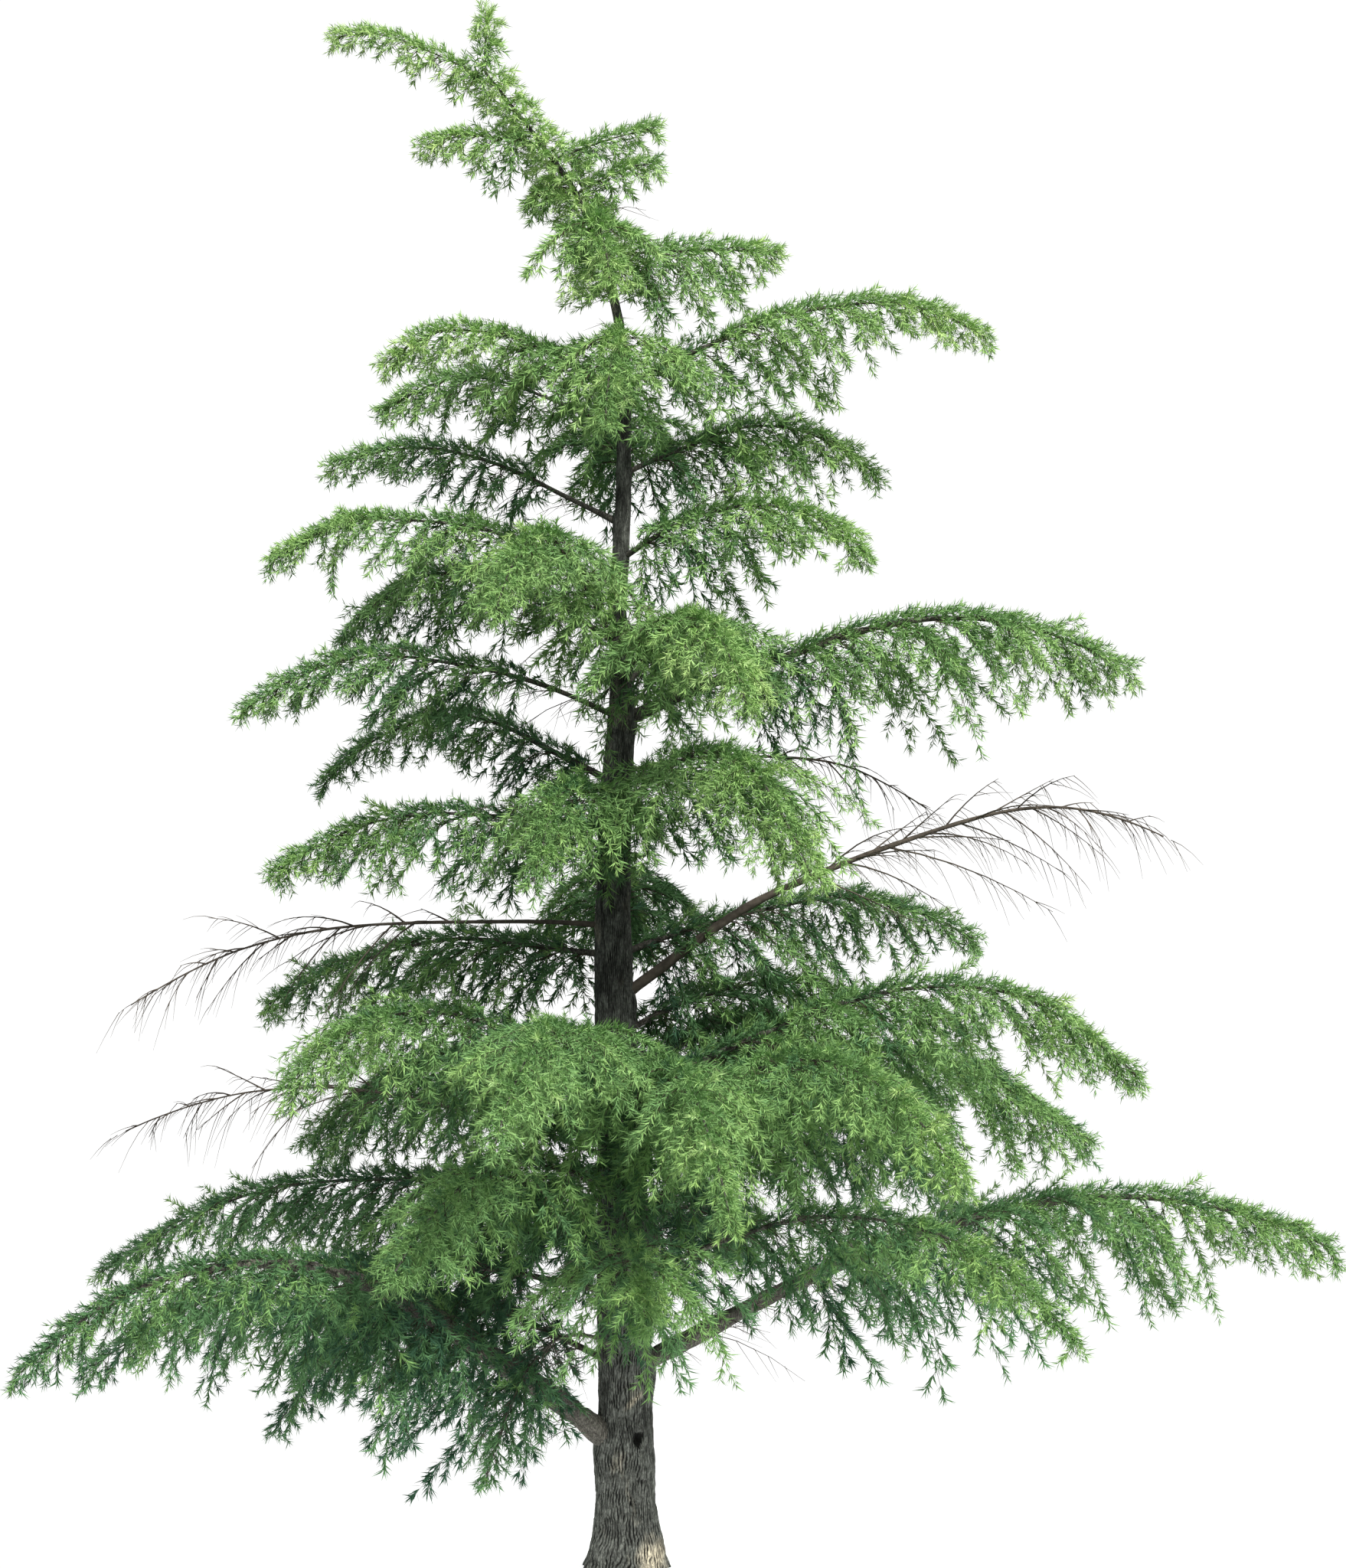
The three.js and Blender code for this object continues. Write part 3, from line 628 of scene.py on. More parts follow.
def grow_leafy(limb, growth):
    """Side twigs, hanging sprays and rising shoots with their sub-twigs, and spurs on the stem."""
    leafy = limb.length * (1 - limb.bare)
    count = max(8, round(leafy / TWIG_SPACING))
    twigs = [side_twig(limb, k, count) for k in range(count)]
    hanging = max(3, round(leafy / HANG_SPACING))
    twigs += [hanging_twig(limb, k, hanging) for k in range(hanging)]
    shoots = max(1, round(leafy / SHOOT_SPACING))
    twigs += [rising_shoot(limb, k, shoots) for k in range(shoots)]
    for twig in twigs:
        growth.paths.append(twig.path())
        growth.dress(twig, 0.15)
        for sub in sub_twigs(twig, SUB_SPACING, SUB_SHARE, SUB_DROOP):
            growth.paths.append(sub.path(2 if sub.length > LONG_SUB else 1))
            growth.dress(sub, 0.25)
    growth.cover(limb)


def leader_shoot(k, count):
    """A leafy shoot on the trunk's own top, which nods to the left."""
    seed = 4000 + k * 9
    height = mix(LEAFY_TRUNK, TRUNK_TOP, (k + chance(seed)) / count)
    foot, radius = trunk_at(height)
    along = (trunk_at(height + 0.05)[0] - trunk_at(height - 0.05)[0]).normalized()
    outward = on_circle(1, TURN_STEP * k)
    most = mix(*LEADER_LENGTH, (height - LEAFY_TRUNK) / (TRUNK_TOP - LEAFY_TRUNK))
    length = mix(SHORTEST_LEADER_SHOOT, most, chance(seed + 1) ** 1.5)
    direction = (along * mix(*LEADER_FORWARD, chance(seed + 2)) + outward).normalized()
    # The top's shoots take the lightest greens: young growth, and painted light
    shade = mix(*LEADER_SHADE, chance(seed + 3))
    return Twig(foot + outward * radius, direction, length, LEADER_SAG, THIN_TWIG, seed, shade)


def grow_leader(growth):
    count = round((TRUNK_TOP - LEAFY_TRUNK) / LEADER_SPACING)
    for k in range(count):
        shoot = leader_shoot(k, count)
        growth.paths.append(shoot.path())
        growth.dress(shoot, 0.1)
        for sub in sub_twigs(shoot, SUB_SPACING, 0.3, 0.4):
            growth.paths.append(sub.path(1))
            growth.dress(sub, 0.3)


def grow_bare(limb, growth):
    """Dead twigs with no needles near the trunk, under and beside a live limb."""
    share = limb.bare + BARE_BEYOND
    count = round(limb.length * share / BARE_SPACING)
    for k in range(count):
        seed = limb.index * 71 + k * 5
        t = mix(FIRST_BARE_TWIG, share, (k + chance(seed)) / count)
        along = limb.direction(t)
        turn = 2 * math.pi * chance(seed + 1)
        outward = level_across(along) * math.cos(turn) + UP * (math.sin(turn) * 0.6 - 0.1)
        direction = (along * 0.9 + outward * 0.8).normalized()
        length = min(limb.reach, LONGEST_BARE_TWIG) * mix(0.2, 1, chance(seed + 2) ** 2)
        twig = Twig(limb.point(t), direction, length, 0.3, BARE_RADIUS, seed, 0)
        growth.paths.append(twig.path())
        for sub in sub_twigs(twig, BARE_SUB_SPACING, 0.4, 0.5):
            growth.paths.append(sub.path(1))


def dead_branch(limb, k, count):
    """Bare branches that leave a dead limb forward, on all sides of it."""
    seed = limb.index * 101 + k * 13
    s = (k + 0.2 + 0.6 * chance(seed)) / count
    t = mix(0.8 * limb.bare, LAST_DEAD_BRANCH, s)
    along = limb.direction(t)
    outward = round_stem(along, TURN_STEP * k + chance(seed + 1))
    angle = math.radians(mix(*DEAD_ANGLE, chance(seed + 2)))
    direction = along * math.cos(angle) + outward * math.sin(angle)
    length = limb.reach * reach_share(s) * mix(*DEAD_LENGTH, chance(seed + 3))
    sag = mix(*DEAD_SAG, chance(seed + 4))
    return Twig(limb.point(t), direction, length, sag, mix(*DEAD_RADIUS, s), seed, 0)


def twiglets(place_at, heading_at, length, seed):
    """Paths of thin bent twigs that hang from a dead limb or branch."""
    count = round(length / TWIGLET_SPACING)
    paths = []
    for k in range(count):
        own = seed * 1.7 + k * 7
        u = (k + chance(own)) / count
        heading = heading_at(u)
        side = level_across(heading) * (TWIGLET_SPREAD * (chance(own + 1) - 0.5))
        rise = UP * mix(*TWIGLET_RISE, chance(own + 2))
        direction = (heading * TWIGLET_FORWARD + side + rise).normalized()
        reach = mix(*TWIGLET_LENGTH, chance(own + 3))
        sag = mix(*TWIGLET_SAG, chance(own + 4))
        paths.append(Twig(place_at(u), direction, reach, sag, TWIGLET_RADIUS, own, 0).path())
    return paths


def grow_dead(limb, growth):
    bare_wood = limb.length * (1 - limb.bare)
    growth.paths += twiglets(
        lambda u: limb.point(mix(limb.bare, 1, u)),
        lambda u: limb.direction(mix(limb.bare, 1, u)),
        bare_wood,
        limb.index,
    )
    count = max(6, round(bare_wood / DEAD_BRANCH_SPACING))
    for k in range(count):
        branch = dead_branch(limb, k, count)
        growth.paths.append(branch.path(DEAD_STEPS))
        growth.paths += twiglets(branch.point, branch.heading, branch.length, branch.seed)


# Meshes made from arrays


def mesh_object(name, vertices, faces, edges=()):
    mesh = bpy.data.meshes.new(name)
    mesh.from_pydata(vertices, edges, faces)
    mesh.update()
    piece = bpy.data.objects.new(name, mesh)
    bpy.context.scene.collection.objects.link(piece)
    return piece


def point_values(mesh, name, kind, values):
    layer = mesh.attributes.new(name, kind, "POINT")
    key = "vector" if kind == "FLOAT_VECTOR" else "value"
    layer.data.foreach_set(key, np.asarray(values, dtype=float).ravel())


def tube_faces(rings, sides, first=0):
    """Faces outward of a tube of rings, each running anticlockwise seen from its end."""
    faces = []
    for ring in range(rings - 1):
        for side in range(sides):
            a = first + ring * sides + side
            b = first + ring * sides + (side + 1) % sides
            faces.append((a, b, b + sides, a + sides))
    return faces


def stem_noise(place, across, along, shift=0.0):
    """Smooth noise with its own number of waves in a metre across and along the stem."""
    return noise.noise(Vector((place.x * across + shift, place.y * across, place.z * along)))


def ridged(place, turn):
    """From 0 in a furrow to 1 on a ridge: wavy upright ridges that meet and part."""
    bend = 1.5 * stem_noise(place, 8, 6) + 0.5 * stem_noise(place, 26, 30)
    ridge = abs(math.sin(math.pi * (RIDGE_COUNT * turn / (2 * math.pi) + bend))) ** 0.8
    meet = 0.3 + 1.5 * stem_noise(place, 34, 13, 9)
    return 1 - (1 - ridge) * (1 - 0.75 * min(1, max(0, meet)))


def crack(place, width, height):
    """From 0 in a crack between plates of bark to 1 on a plate."""
    cell = Vector((place.x / width, place.y / width, place.z / height))
    bend = noise.noise(cell * 0.6) * 0.9
    near = noise.voronoi(cell + Vector((bend, bend, 0)))[0]
    return min(1.0, (near[1] - near[0]) * 2.6)


def bark_relief(place, turn, scale):
    """How far the bark stands out at a place, and how open the furrow there is."""
    plate = ridged(place, turn) * mix(PLATE_SHADE, 1, crack(place, *PLATE_SIZE))
    grain = noise.fractal(Vector((place.x * 38, place.y * 38, place.z * 11)), 1.0, 2.1, 3)
    rough = stem_noise(place, 150, 60)
    out = (plate - RIDGE_LEVEL) * RIDGE_DEPTH + grain * GRAIN_DEPTH + rough * ROUGH_DEPTH
    return out * scale, plate


def bump(distance, width):
    return math.exp(-((distance / width) ** 2))


def trunk_marks(place):
    """Knot hole, small hole and scar on the side of the trunk that the photo shows."""
    if place.y > 0:
        return 0.0
    ragged = 0.012 * noise.noise(Vector((place.x * 60, place.z * 60, 2)))
    knot = math.hypot(place.x - KNOT[0], (place.z - KNOT[1]) * 0.75) + ragged
    hole = math.hypot(place.x - HOLE[0], (place.z - HOLE[1]) * 1.3) + 0.5 * ragged
    scar = math.hypot((place.x - SCAR[0]) * 0.5, (place.z - SCAR[1]) * 2.2)
    rim = 0.010 * bump(knot - 0.042, 0.014) + 0.006 * bump(hole - 0.024, 0.01)
    return rim - 0.045 * bump(knot, 0.027) - 0.02 * bump(hole, 0.015) - 0.007 * bump(scar, 0.022)


def sunlit_foot_and_pale_streak(place):
    """A painted patch of sunlight at the foot on the right, and a pale streak higher up."""
    if place.y > 0:
        return 0.0
    ragged = 0.3 * noise.noise(Vector((place.x * 22, 3, place.z * 14)))
    x, z = place.x - SUNLIT_FOOT[0], place.z - SUNLIT_FOOT[1]
    foot = math.hypot(x / SUNLIT_FOOT_SIZE[0], z / SUNLIT_FOOT_SIZE[1]) + ragged
    x, z = place.x - PALE_STREAK[0], place.z - PALE_STREAK[1]
    along = (x * 0.72 + z * 0.70) / PALE_STREAK_SIZE[0]
    beside = (x * 0.70 - z * 0.72) / PALE_STREAK_SIZE[1]
    streak = math.hypot(along, beside) + ragged
    return min(1.0, max(0.0, 1.6 * (1 - foot)) + max(0.0, 1.2 * (1 - streak)))


def limb_collar(limbs, place):
    """The swelling of the trunk round the root of each limb."""
    out = 0.0
    for limb in limbs:
        lift = place.z - limb.root.z
        if abs(lift) > COLLAR_REACH:
            continue
        centre, radius = trunk_at(limb.root.z)
        flat = Vector((limb.tip.x - centre.x, limb.tip.y, 0)).normalized()
        spot = centre + flat * radius
        level = place - Vector((spot.x, spot.y, place.z))
        gap = math.hypot(level.length, lift * 0.7)
        out += COLLAR_HEIGHT * limb.girth * bump(gap, COLLAR_WIDTH * limb.girth)
    return out


def trunk_heights():
    """Heights of the trunk's rings, further apart towards its top."""
    heights = []
    height = 0.0
    step = TRUNK_STEP
    while height < TRUNK_TOP:
        heights.append(height)
        height += step
        step *= TRUNK_STEP_GROWTH
    return heights + [TRUNK_TOP]


def trunk_vertex(limbs, centre, radius, turn, height):
    """A point of the trunk's bark, how open the furrow there is with painted shade in the holes, and how
    much of the painted sunlit patch and the pale streak it has.
    """
    relief = min(1.0, max(LEAST_RELIEF, radius / FULL_RELIEF_RADIUS))
    flare = FLARE_DEPTH * math.exp(-height / FLARE_HEIGHT)
    lobes = math.cos(FLARE_LOBES * turn + 0.6 * math.sin(2 * turn))
    smooth = radius * (1 + flare * lobes)
    place = centre + on_circle(smooth, turn)
    out, plate = bark_relief(place, turn, relief)
    sway = TRUNK_SWAY * radius * stem_noise(place, 4, 1.6)
    marks = trunk_marks(place)
    out += marks + sway + limb_collar(limbs, place)
    place = centre + on_circle(smooth + out, turn)
    # The holes and the scar are darkened with painted shade
    whole = min(1, max(0, plate + PAINTED_HOLE_SHADE * min(marks, 0)))
    return place, whole, sunlit_foot_and_pale_streak(place)


def bark_trunk(limbs):
    """The trunk with furrowed bark, from the flat cut at the ground to its tip."""
    heights = trunk_heights()
    rows = []
    for height in heights:
        centre, radius = trunk_at(height)
        for segment in range(TRUNK_SEGMENTS):
            turn = 2 * math.pi * segment / TRUNK_SEGMENTS
            rows.append(trunk_vertex(limbs, centre, radius, turn, height))
    faces = tube_faces(len(heights), TRUNK_SEGMENTS)
    last = (len(heights) - 1) * TRUNK_SEGMENTS
    faces.append(tuple(reversed(range(TRUNK_SEGMENTS))))
    faces.append(tuple(range(last, last + TRUNK_SEGMENTS)))
    vertices, plates, sunlit_and_pale_shares = zip(*rows)
    piece = mesh_object("trunk_bark", vertices, faces)
    point_values(piece.data, "plate", "FLOAT", plates)
    # The pale value holds the painted sunlit patch at the foot and the pale streak
    point_values(piece.data, "pale", "FLOAT", sunlit_and_pale_shares)
    return piece


def limb_vertex(limb, centre, normal, radius, along, relief):
    """A point of a limb's wood, and how open the crack there is."""
    if not relief:
        return centre + normal * radius, 1.0
    place = Vector((normal.x * radius, normal.y * radius, along))
    plate = mix(LIMB_PLATE_SHADE, 1, crack(place + Vector((limb.index, 0, 0)), *LIMB_PLATE_SIZE))
    out = (plate - 0.9) * LIMB_CRACKS * radius + LIMB_GRAIN * radius * noise.noise(place * 70)
    return centre + normal * (radius + out), plate


def limb_wood(limb, sides, step, relief):
    """Points of a limb's wood with their cracks, and its faces."""
    rings = max(6, round(limb.length / step))
    rows = []
    for ring in range(rings + 1):
        t = limb.end * ring / rings
        centre = limb.point(t)
        direction = limb.direction(t)
        wobble = LIMB_WOBBLE * noise.noise(centre * 5 + Vector((limb.index, 0, 0)))
        radius = limb.radius(t) * (1 + wobble)
        for side in range(sides):
            normal = round_stem(direction, 2 * math.pi * side / sides)
            rows.append(limb_vertex(limb, centre, normal, radius, t * limb.length, relief))
    faces = tube_faces(rings + 1, sides)
    last = rings * sides
    faces.append(tuple(range(last, last + sides)))
    faces.append(tuple(reversed(range(sides))))
    return rows, faces


def wood_piece(name, limbs, rings, relief, material):
    """The wood of several limbs as one mesh."""
    rows = []
    faces = []
    for limb in limbs:
        own_rows, own_faces = limb_wood(limb, *rings, relief)
        faces += [tuple(len(rows) + i for i in face) for face in own_faces]
        rows += own_rows
    vertices, plates = zip(*rows)
    piece = mesh_object(name, vertices, faces)
    point_values(piece.data, "plate", "FLOAT", plates)
    for face in piece.data.polygons:
        face.use_smooth = True
    piece.data.materials.append(material)
    return piece


# Nodes, for geometry and for materials


def feed(tree, socket, value):
    """Link a socket to another node's output, or set it to a number or a colour."""
    if isinstance(value, bpy.types.NodeSocket):
        tree.links.new(value, socket)
    elif isinstance(value, tuple):
        socket.default_value = (*value, 1)
    else:
        socket.default_value = value


def maths(tree, operation, *values):
    node = tree.nodes.new("ShaderNodeMath")
    node.operation = operation
    for socket, value in zip(node.inputs, values):
        feed(tree, socket, value)
    return node.outputs[0]


def combine(tree, *values):
    node = tree.nodes.new("ShaderNodeCombineXYZ")
    for socket, value in zip(node.inputs, values):
        feed(tree, socket, value)
    return node.outputs[0]


def new_group(name, kind, inputs, outputs):
    """A node group with named inputs and outputs, and the nodes at its two ends."""
    group = bpy.data.node_groups.new(name, kind)
    for label, socket_type, value in inputs:
        socket = group.interface.new_socket(label, in_out="INPUT", socket_type=socket_type)
        if value is not None:
            socket.default_value = value
    for label, socket_type in outputs:
        group.interface.new_socket(label, in_out="OUTPUT", socket_type=socket_type)
    return group, group.nodes.new("NodeGroupInput"), group.nodes.new("NodeGroupOutput")


# Geometry node trees


def new_tree(name, inputs):
    geometry = ("Geometry", "NodeSocketGeometry")
    return new_group(name, "GeometryNodeTree", [(*geometry, None), *inputs], [geometry])


def random_value(tree, low, high, seed):
    node = tree.nodes.new("FunctionNodeRandomValue")
    node.data_type = "FLOAT"
    sockets = {socket.name: socket for socket in node.inputs if socket.enabled}
    for label, value in (("Min", low), ("Max", high), ("Seed", seed)):
        feed(tree, sockets[label], value)
    return next(socket for socket in node.outputs if socket.enabled)


def named_attribute(tree, name, kind):
    node = tree.nodes.new("GeometryNodeInputNamedAttribute")
    node.data_type = kind
    node.inputs["Name"].default_value = name
    return next(socket for socket in node.outputs if socket.enabled and socket.name == "Attribute")


def needle_mesh(tree, length, width):
    """A needle of one face, pointed at its foot and its tip and widest before its middle."""
    face = tree.nodes.new("GeometryNodeMeshCircle")
    face.fill_type = "NGON"
    face.inputs["Vertices"].default_value = 3
    index = tree.nodes.new("GeometryNodeInputIndex").outputs[0]
    at_tip = maths(tree, "LESS_THAN", index, 0.5)
    at_side = maths(tree, "SUBTRACT", maths(tree, "LESS_THAN", index, 1.5), at_tip)
    forward = maths(tree, "ADD", at_tip, maths(tree, "MULTIPLY", at_side, WIDEST_AT))
    shape = tree.nodes.new("GeometryNodeSetPosition")
    tree.links.new(face.outputs["Mesh"], shape.inputs["Geometry"])
    x = maths(tree, "MULTIPLY", forward, length)
    y = maths(tree, "MULTIPLY", at_side, width)
    tree.links.new(combine(tree, x, y, 0.0), shape.inputs["Position"])
    return shape.outputs["Geometry"]


def instances(tree, points, shape, rotation, scale):
    node = tree.nodes.new("GeometryNodeInstanceOnPoints")
    labels = ("Points", "Instance", "Rotation", "Scale")
    for label, value in zip(labels, (points, shape, rotation, scale)):
        tree.links.new(value, node.inputs[label])
    return node.outputs[0]


def needle_fan(tree, start):
    """One tuft: needles along its axis, fanned round it."""
    seed = start.outputs["Seed"]
    needle = needle_mesh(tree, start.outputs["Needle Length"], start.outputs["Needle Width"])
    points = tree.nodes.new("GeometryNodePoints")
    tree.links.new(start.outputs["Needle Count"], points.inputs["Count"])
    rise = random_value(tree, 0.0, start.outputs["Tuft Length"], seed)
    tree.links.new(combine(tree, 0.0, 0.0, rise), points.inputs["Position"])
    index = tree.nodes.new("GeometryNodeInputIndex").outputs[0]
    round_axis = maths(tree, "MULTIPLY", index, NEEDLE_TURN)
    least, most = start.outputs["Least Tilt"], start.outputs["Most Tilt"]
    tilt = random_value(tree, least, most, maths(tree, "ADD", seed, 1))
    lean = maths(tree, "SUBTRACT", tilt, math.pi / 2)
    roll = random_value(tree, 0.0, NEEDLE_ROLL, maths(tree, "ADD", seed, 2))
    length = random_value(tree, *NEEDLE_LENGTHS, maths(tree, "ADD", seed, 3))
    rotation = combine(tree, roll, lean, round_axis)
    fan = instances(tree, points.outputs[0], needle, rotation, combine(tree, length, 1.0, 1.0))
    tuft = tree.nodes.new("GeometryNodeRealizeInstances")
    tree.links.new(fan, tuft.inputs[0])
    return tuft.outputs[0]


def tuft_tree():
    """A tuft of needles on each point, along the point's own aim."""
    tree, start, end = new_tree(
        "Needle tufts",
        [
            ("Needle Length", "NodeSocketFloat", NEEDLE_LENGTH),
            ("Needle Width", "NodeSocketFloat", NEEDLE_WIDTH),
            ("Needle Count", "NodeSocketInt", NEEDLES_PER_TUFT),
            ("Tuft Length", "NodeSocketFloat", TUFT_LENGTH),
            ("Least Tilt", "NodeSocketFloat", NEEDLE_TILT[0]),
            ("Most Tilt", "NodeSocketFloat", NEEDLE_TILT[1]),
            ("Seed", "NodeSocketInt", 0),
            ("Material", "NodeSocketMaterial", None),
        ],
    )
    aim = tree.nodes.new("FunctionNodeAlignRotationToVector")
    aim.axis = "Z"
    tree.links.new(named_attribute(tree, "aim", "FLOAT_VECTOR"), aim.inputs["Vector"])
    turn = tree.nodes.new("FunctionNodeRotateRotation")
    turn.rotation_space = "LOCAL"
    tree.links.new(aim.outputs[0], turn.inputs[0])
    tree.links.new(combine(tree, 0.0, 0.0, named_attribute(tree, "turn", "FLOAT")), turn.inputs[1])
    size = named_attribute(tree, "size", "FLOAT")
    fan = needle_fan(tree, start)
    spread = instances(tree, start.outputs["Geometry"], fan, turn.outputs[0], size)
    finish_tree(tree, spread, start, end)
    return tree


def twig_tree():
    """Tubes along the twigs' paths, as thick as each point says."""
    tree, start, end = new_tree(
        "Twig tubes",
        [
            ("Sides", "NodeSocketInt", TWIG_SIDES),
            ("Thickness", "NodeSocketFloat", 1.0),
            ("Material", "NodeSocketMaterial", None),
        ],
    )
    curve = tree.nodes.new("GeometryNodeMeshToCurve")
    tree.links.new(start.outputs["Geometry"], curve.inputs[0])
    thick = named_attribute(tree, "thick", "FLOAT")
    thick = maths(tree, "MULTIPLY", thick, start.outputs["Thickness"])
    radius = tree.nodes.new("GeometryNodeSetCurveRadius")
    tree.links.new(curve.outputs[0], radius.inputs["Curve"])
    tree.links.new(thick, radius.inputs["Radius"])
    section = tree.nodes.new("GeometryNodeCurvePrimitiveCircle")
    section.inputs["Radius"].default_value = 1.0
    tree.links.new(start.outputs["Sides"], section.inputs["Resolution"])
    tube = tree.nodes.new("GeometryNodeCurveToMesh")
    tree.links.new(radius.outputs[0], tube.inputs["Curve"])
    tree.links.new(section.outputs[0], tube.inputs["Profile Curve"])
    if "Scale" in tube.inputs:
        tree.links.new(thick, tube.inputs["Scale"])
    finish_tree(tree, tube.outputs[0], start, end)
    return tree


def finish_tree(tree, geometry, start, end):
    realize = tree.nodes.new("GeometryNodeRealizeInstances")
    paint = tree.nodes.new("GeometryNodeSetMaterial")
    tree.links.new(geometry, realize.inputs[0])
    tree.links.new(realize.outputs[0], paint.inputs["Geometry"])
    tree.links.new(start.outputs["Material"], paint.inputs["Material"])
    tree.links.new(paint.outputs[0], end.inputs[0])


def input_sockets(tree):
    """The identifier of each of a tree's inputs, by its name."""
    sockets = [item for item in tree.interface.items_tree if item.item_type == "SOCKET"]
    return {socket.name: socket.identifier for socket in sockets if socket.in_out == "INPUT"}


def grown_mesh(carrier, tree, values):
    """The carrier's mesh after the node tree, as a plain mesh, with the carrier removed."""
    modifier = carrier.modifiers.new("grow", "NODES")
    modifier.node_group = tree
    sockets = input_sockets(tree)
    for label, value in values.items():
        modifier[sockets[label]] = value
    bpy.context.view_layer.update()
    evaluated = carrier.evaluated_get(bpy.context.evaluated_depsgraph_get())
    mesh = bpy.data.meshes.new_from_object(evaluated)
    carrier.modifiers.remove(modifier)
    plain = carrier.data
    bpy.data.objects.remove(carrier)
    bpy.data.meshes.remove(plain)
    return mesh


def joined(name, meshes):
    """One object from several meshes, each keeping its own material."""
    parts = []
    for mesh in meshes:
        part = bpy.data.objects.new(name, mesh)
        bpy.context.scene.collection.objects.link(part)
        parts.append(part)
    if len(parts) > 1:
        with bpy.context.temp_override(active_object=parts[0], selected_editable_objects=parts):
            bpy.ops.object.join()
    piece = parts[0]
    piece.name = name
    piece.data.name = name
    layers = piece.data.attributes
    for label in ("aim", "size", "turn", "thick"):
        if label in layers:
            layers.remove(layers[label])
    return piece


def needle_piece(name, tufts, tree, greens):
    """The needles of a group of limbs, each tuft in the green of its spray."""
    meshes = []
    for shade, material in enumerate(greens):
        own = [tuft for tuft in tufts if tuft[4] == shade]
        if not own:
            continue
        carrier = mesh_object(name + "_points", [tuft[0] for tuft in own], [])
        point_values(carrier.data, "aim", "FLOAT_VECTOR", [tuft[1] for tuft in own])
        point_values(carrier.data, "size", "FLOAT", [tuft[2] for tuft in own])
        point_values(carrier.data, "turn", "FLOAT", [tuft[3] for tuft in own])
        values = {"Seed": TUFT_SEED + shade, "Material": material}
        meshes.append(grown_mesh(carrier, tree, values))
    return joined(name, meshes)


def twig_piece(name, paths, tree, material):
    """Tubes along twig paths as one mesh."""
    vertices = []
    edges = []
    thick = []
    for path in paths:
        first = len(vertices)
        vertices += [point for point, _ in path]
        thick += [radius for _, radius in path]
        edges += [(first + i, first + i + 1) for i in range(len(path) - 1)]
    carrier = mesh_object(name + "_paths", vertices, [], edges)
    point_values(carrier.data, "thick", "FLOAT", thick)
    return joined(name, [grown_mesh(carrier, tree, {"Sides": TWIG_SIDES, "Material": material})])


# Materials


def object_noise(tree, scale, detail, stretch=(1, 1, 1)):
    place = tree.nodes.new("ShaderNodeTexCoord")
    shape = tree.nodes.new("ShaderNodeMapping")
    shape.inputs["Scale"].default_value = stretch
    cloud = tree.nodes.new("ShaderNodeTexNoise")
    feed(tree, cloud.inputs["Detail"], detail)
    feed(tree, cloud.inputs["Scale"], scale)
    tree.links.new(place.outputs["Object"], shape.inputs["Vector"])
    tree.links.new(shape.outputs[0], cloud.inputs["Vector"])
    return cloud.outputs["Fac"]


def ramp(tree, value, low, high, to_low=0.0, to_high=1.0):
    node = tree.nodes.new("ShaderNodeMapRange")
    labels = ("Value", "From Min", "From Max", "To Min", "To Max")
    for label, number in zip(labels, (value, low, high, to_low, to_high)):
        feed(tree, node.inputs[label], number)
    return node.outputs[0]


def blend(tree, share, first, second):
    node = tree.nodes.new("ShaderNodeMix")
    node.data_type = "RGBA"
    for index, value in ((0, share), (6, first), (7, second)):
        feed(tree, node.inputs[index], value)
    return node.outputs[2]


def mottle_group():
    """Broad and fine patches between two tones, for bark, twigs and needles."""
    group, start, end = new_group(
        "Mottle",
        "ShaderNodeTree",
        [
            ("Tone", "NodeSocketColor", (0.2, 0.2, 0.2, 1)),
            ("Other Tone", "NodeSocketColor", (0.3, 0.3, 0.3, 1)),
            ("Broad Scale", "NodeSocketFloat", 1.5),
            ("Fine Scale", "NodeSocketFloat", 25.0),
            ("Least Roughness", "NodeSocketFloat", 0.6),
        ],
        [("Color", "NodeSocketColor"), ("Roughness", "NodeSocketFloat")],
    )
    broad = object_noise(group, start.outputs["Broad Scale"], 2)
    fine = object_noise(group, start.outputs["Fine Scale"], 3)
    half_broad = maths(group, "MULTIPLY", broad, 0.5)
    half_fine = maths(group, "MULTIPLY", fine, 0.5)
    mask = ramp(group, maths(group, "ADD", half_broad, half_fine), 0.36, 0.64)
    colour = blend(group, mask, start.outputs["Tone"], start.outputs["Other Tone"])
    more = maths(group, "MULTIPLY", mask, 0.2)
    rough = maths(group, "ADD", start.outputs["Least Roughness"], more)
    group.links.new(colour, end.inputs["Color"])
    group.links.new(rough, end.inputs["Roughness"])
    return group


def new_material(name):
    material = bpy.data.materials.new(name)
    material.use_nodes = True
    return material, material.node_tree, material.node_tree.nodes["Principled BSDF"]


def mottled(tree, surface, group, tones, scales, rough):
    """Link the mottle's roughness to the surface, and hand on its colour."""
    node = tree.nodes.new("ShaderNodeGroup")
    node.node_tree = group
    labels = ("Tone", "Other Tone", "Broad Scale", "Fine Scale", "Least Roughness")
    for label, value in zip(labels, (*tones, *scales, rough)):
        feed(tree, node.inputs[label], value)
    tree.links.new(node.outputs["Roughness"], surface.inputs["Roughness"])
    return node.outputs["Color"]


def needle_material(name, green, group):
    """Waxy needles: one green for each spray, a little warmer and lighter in patches."""
    material, tree, surface = new_material(name)
    warm = tuple(tone * more for tone, more in zip(green, WARMER))
    tint = mottled(tree, surface, group, (green, warm), (0.9, 16.0), 0.6)
    tree.links.new(tint, surface.inputs["Base Color"])
    surface.inputs["Specular IOR Level"].default_value = 0.12
    return material


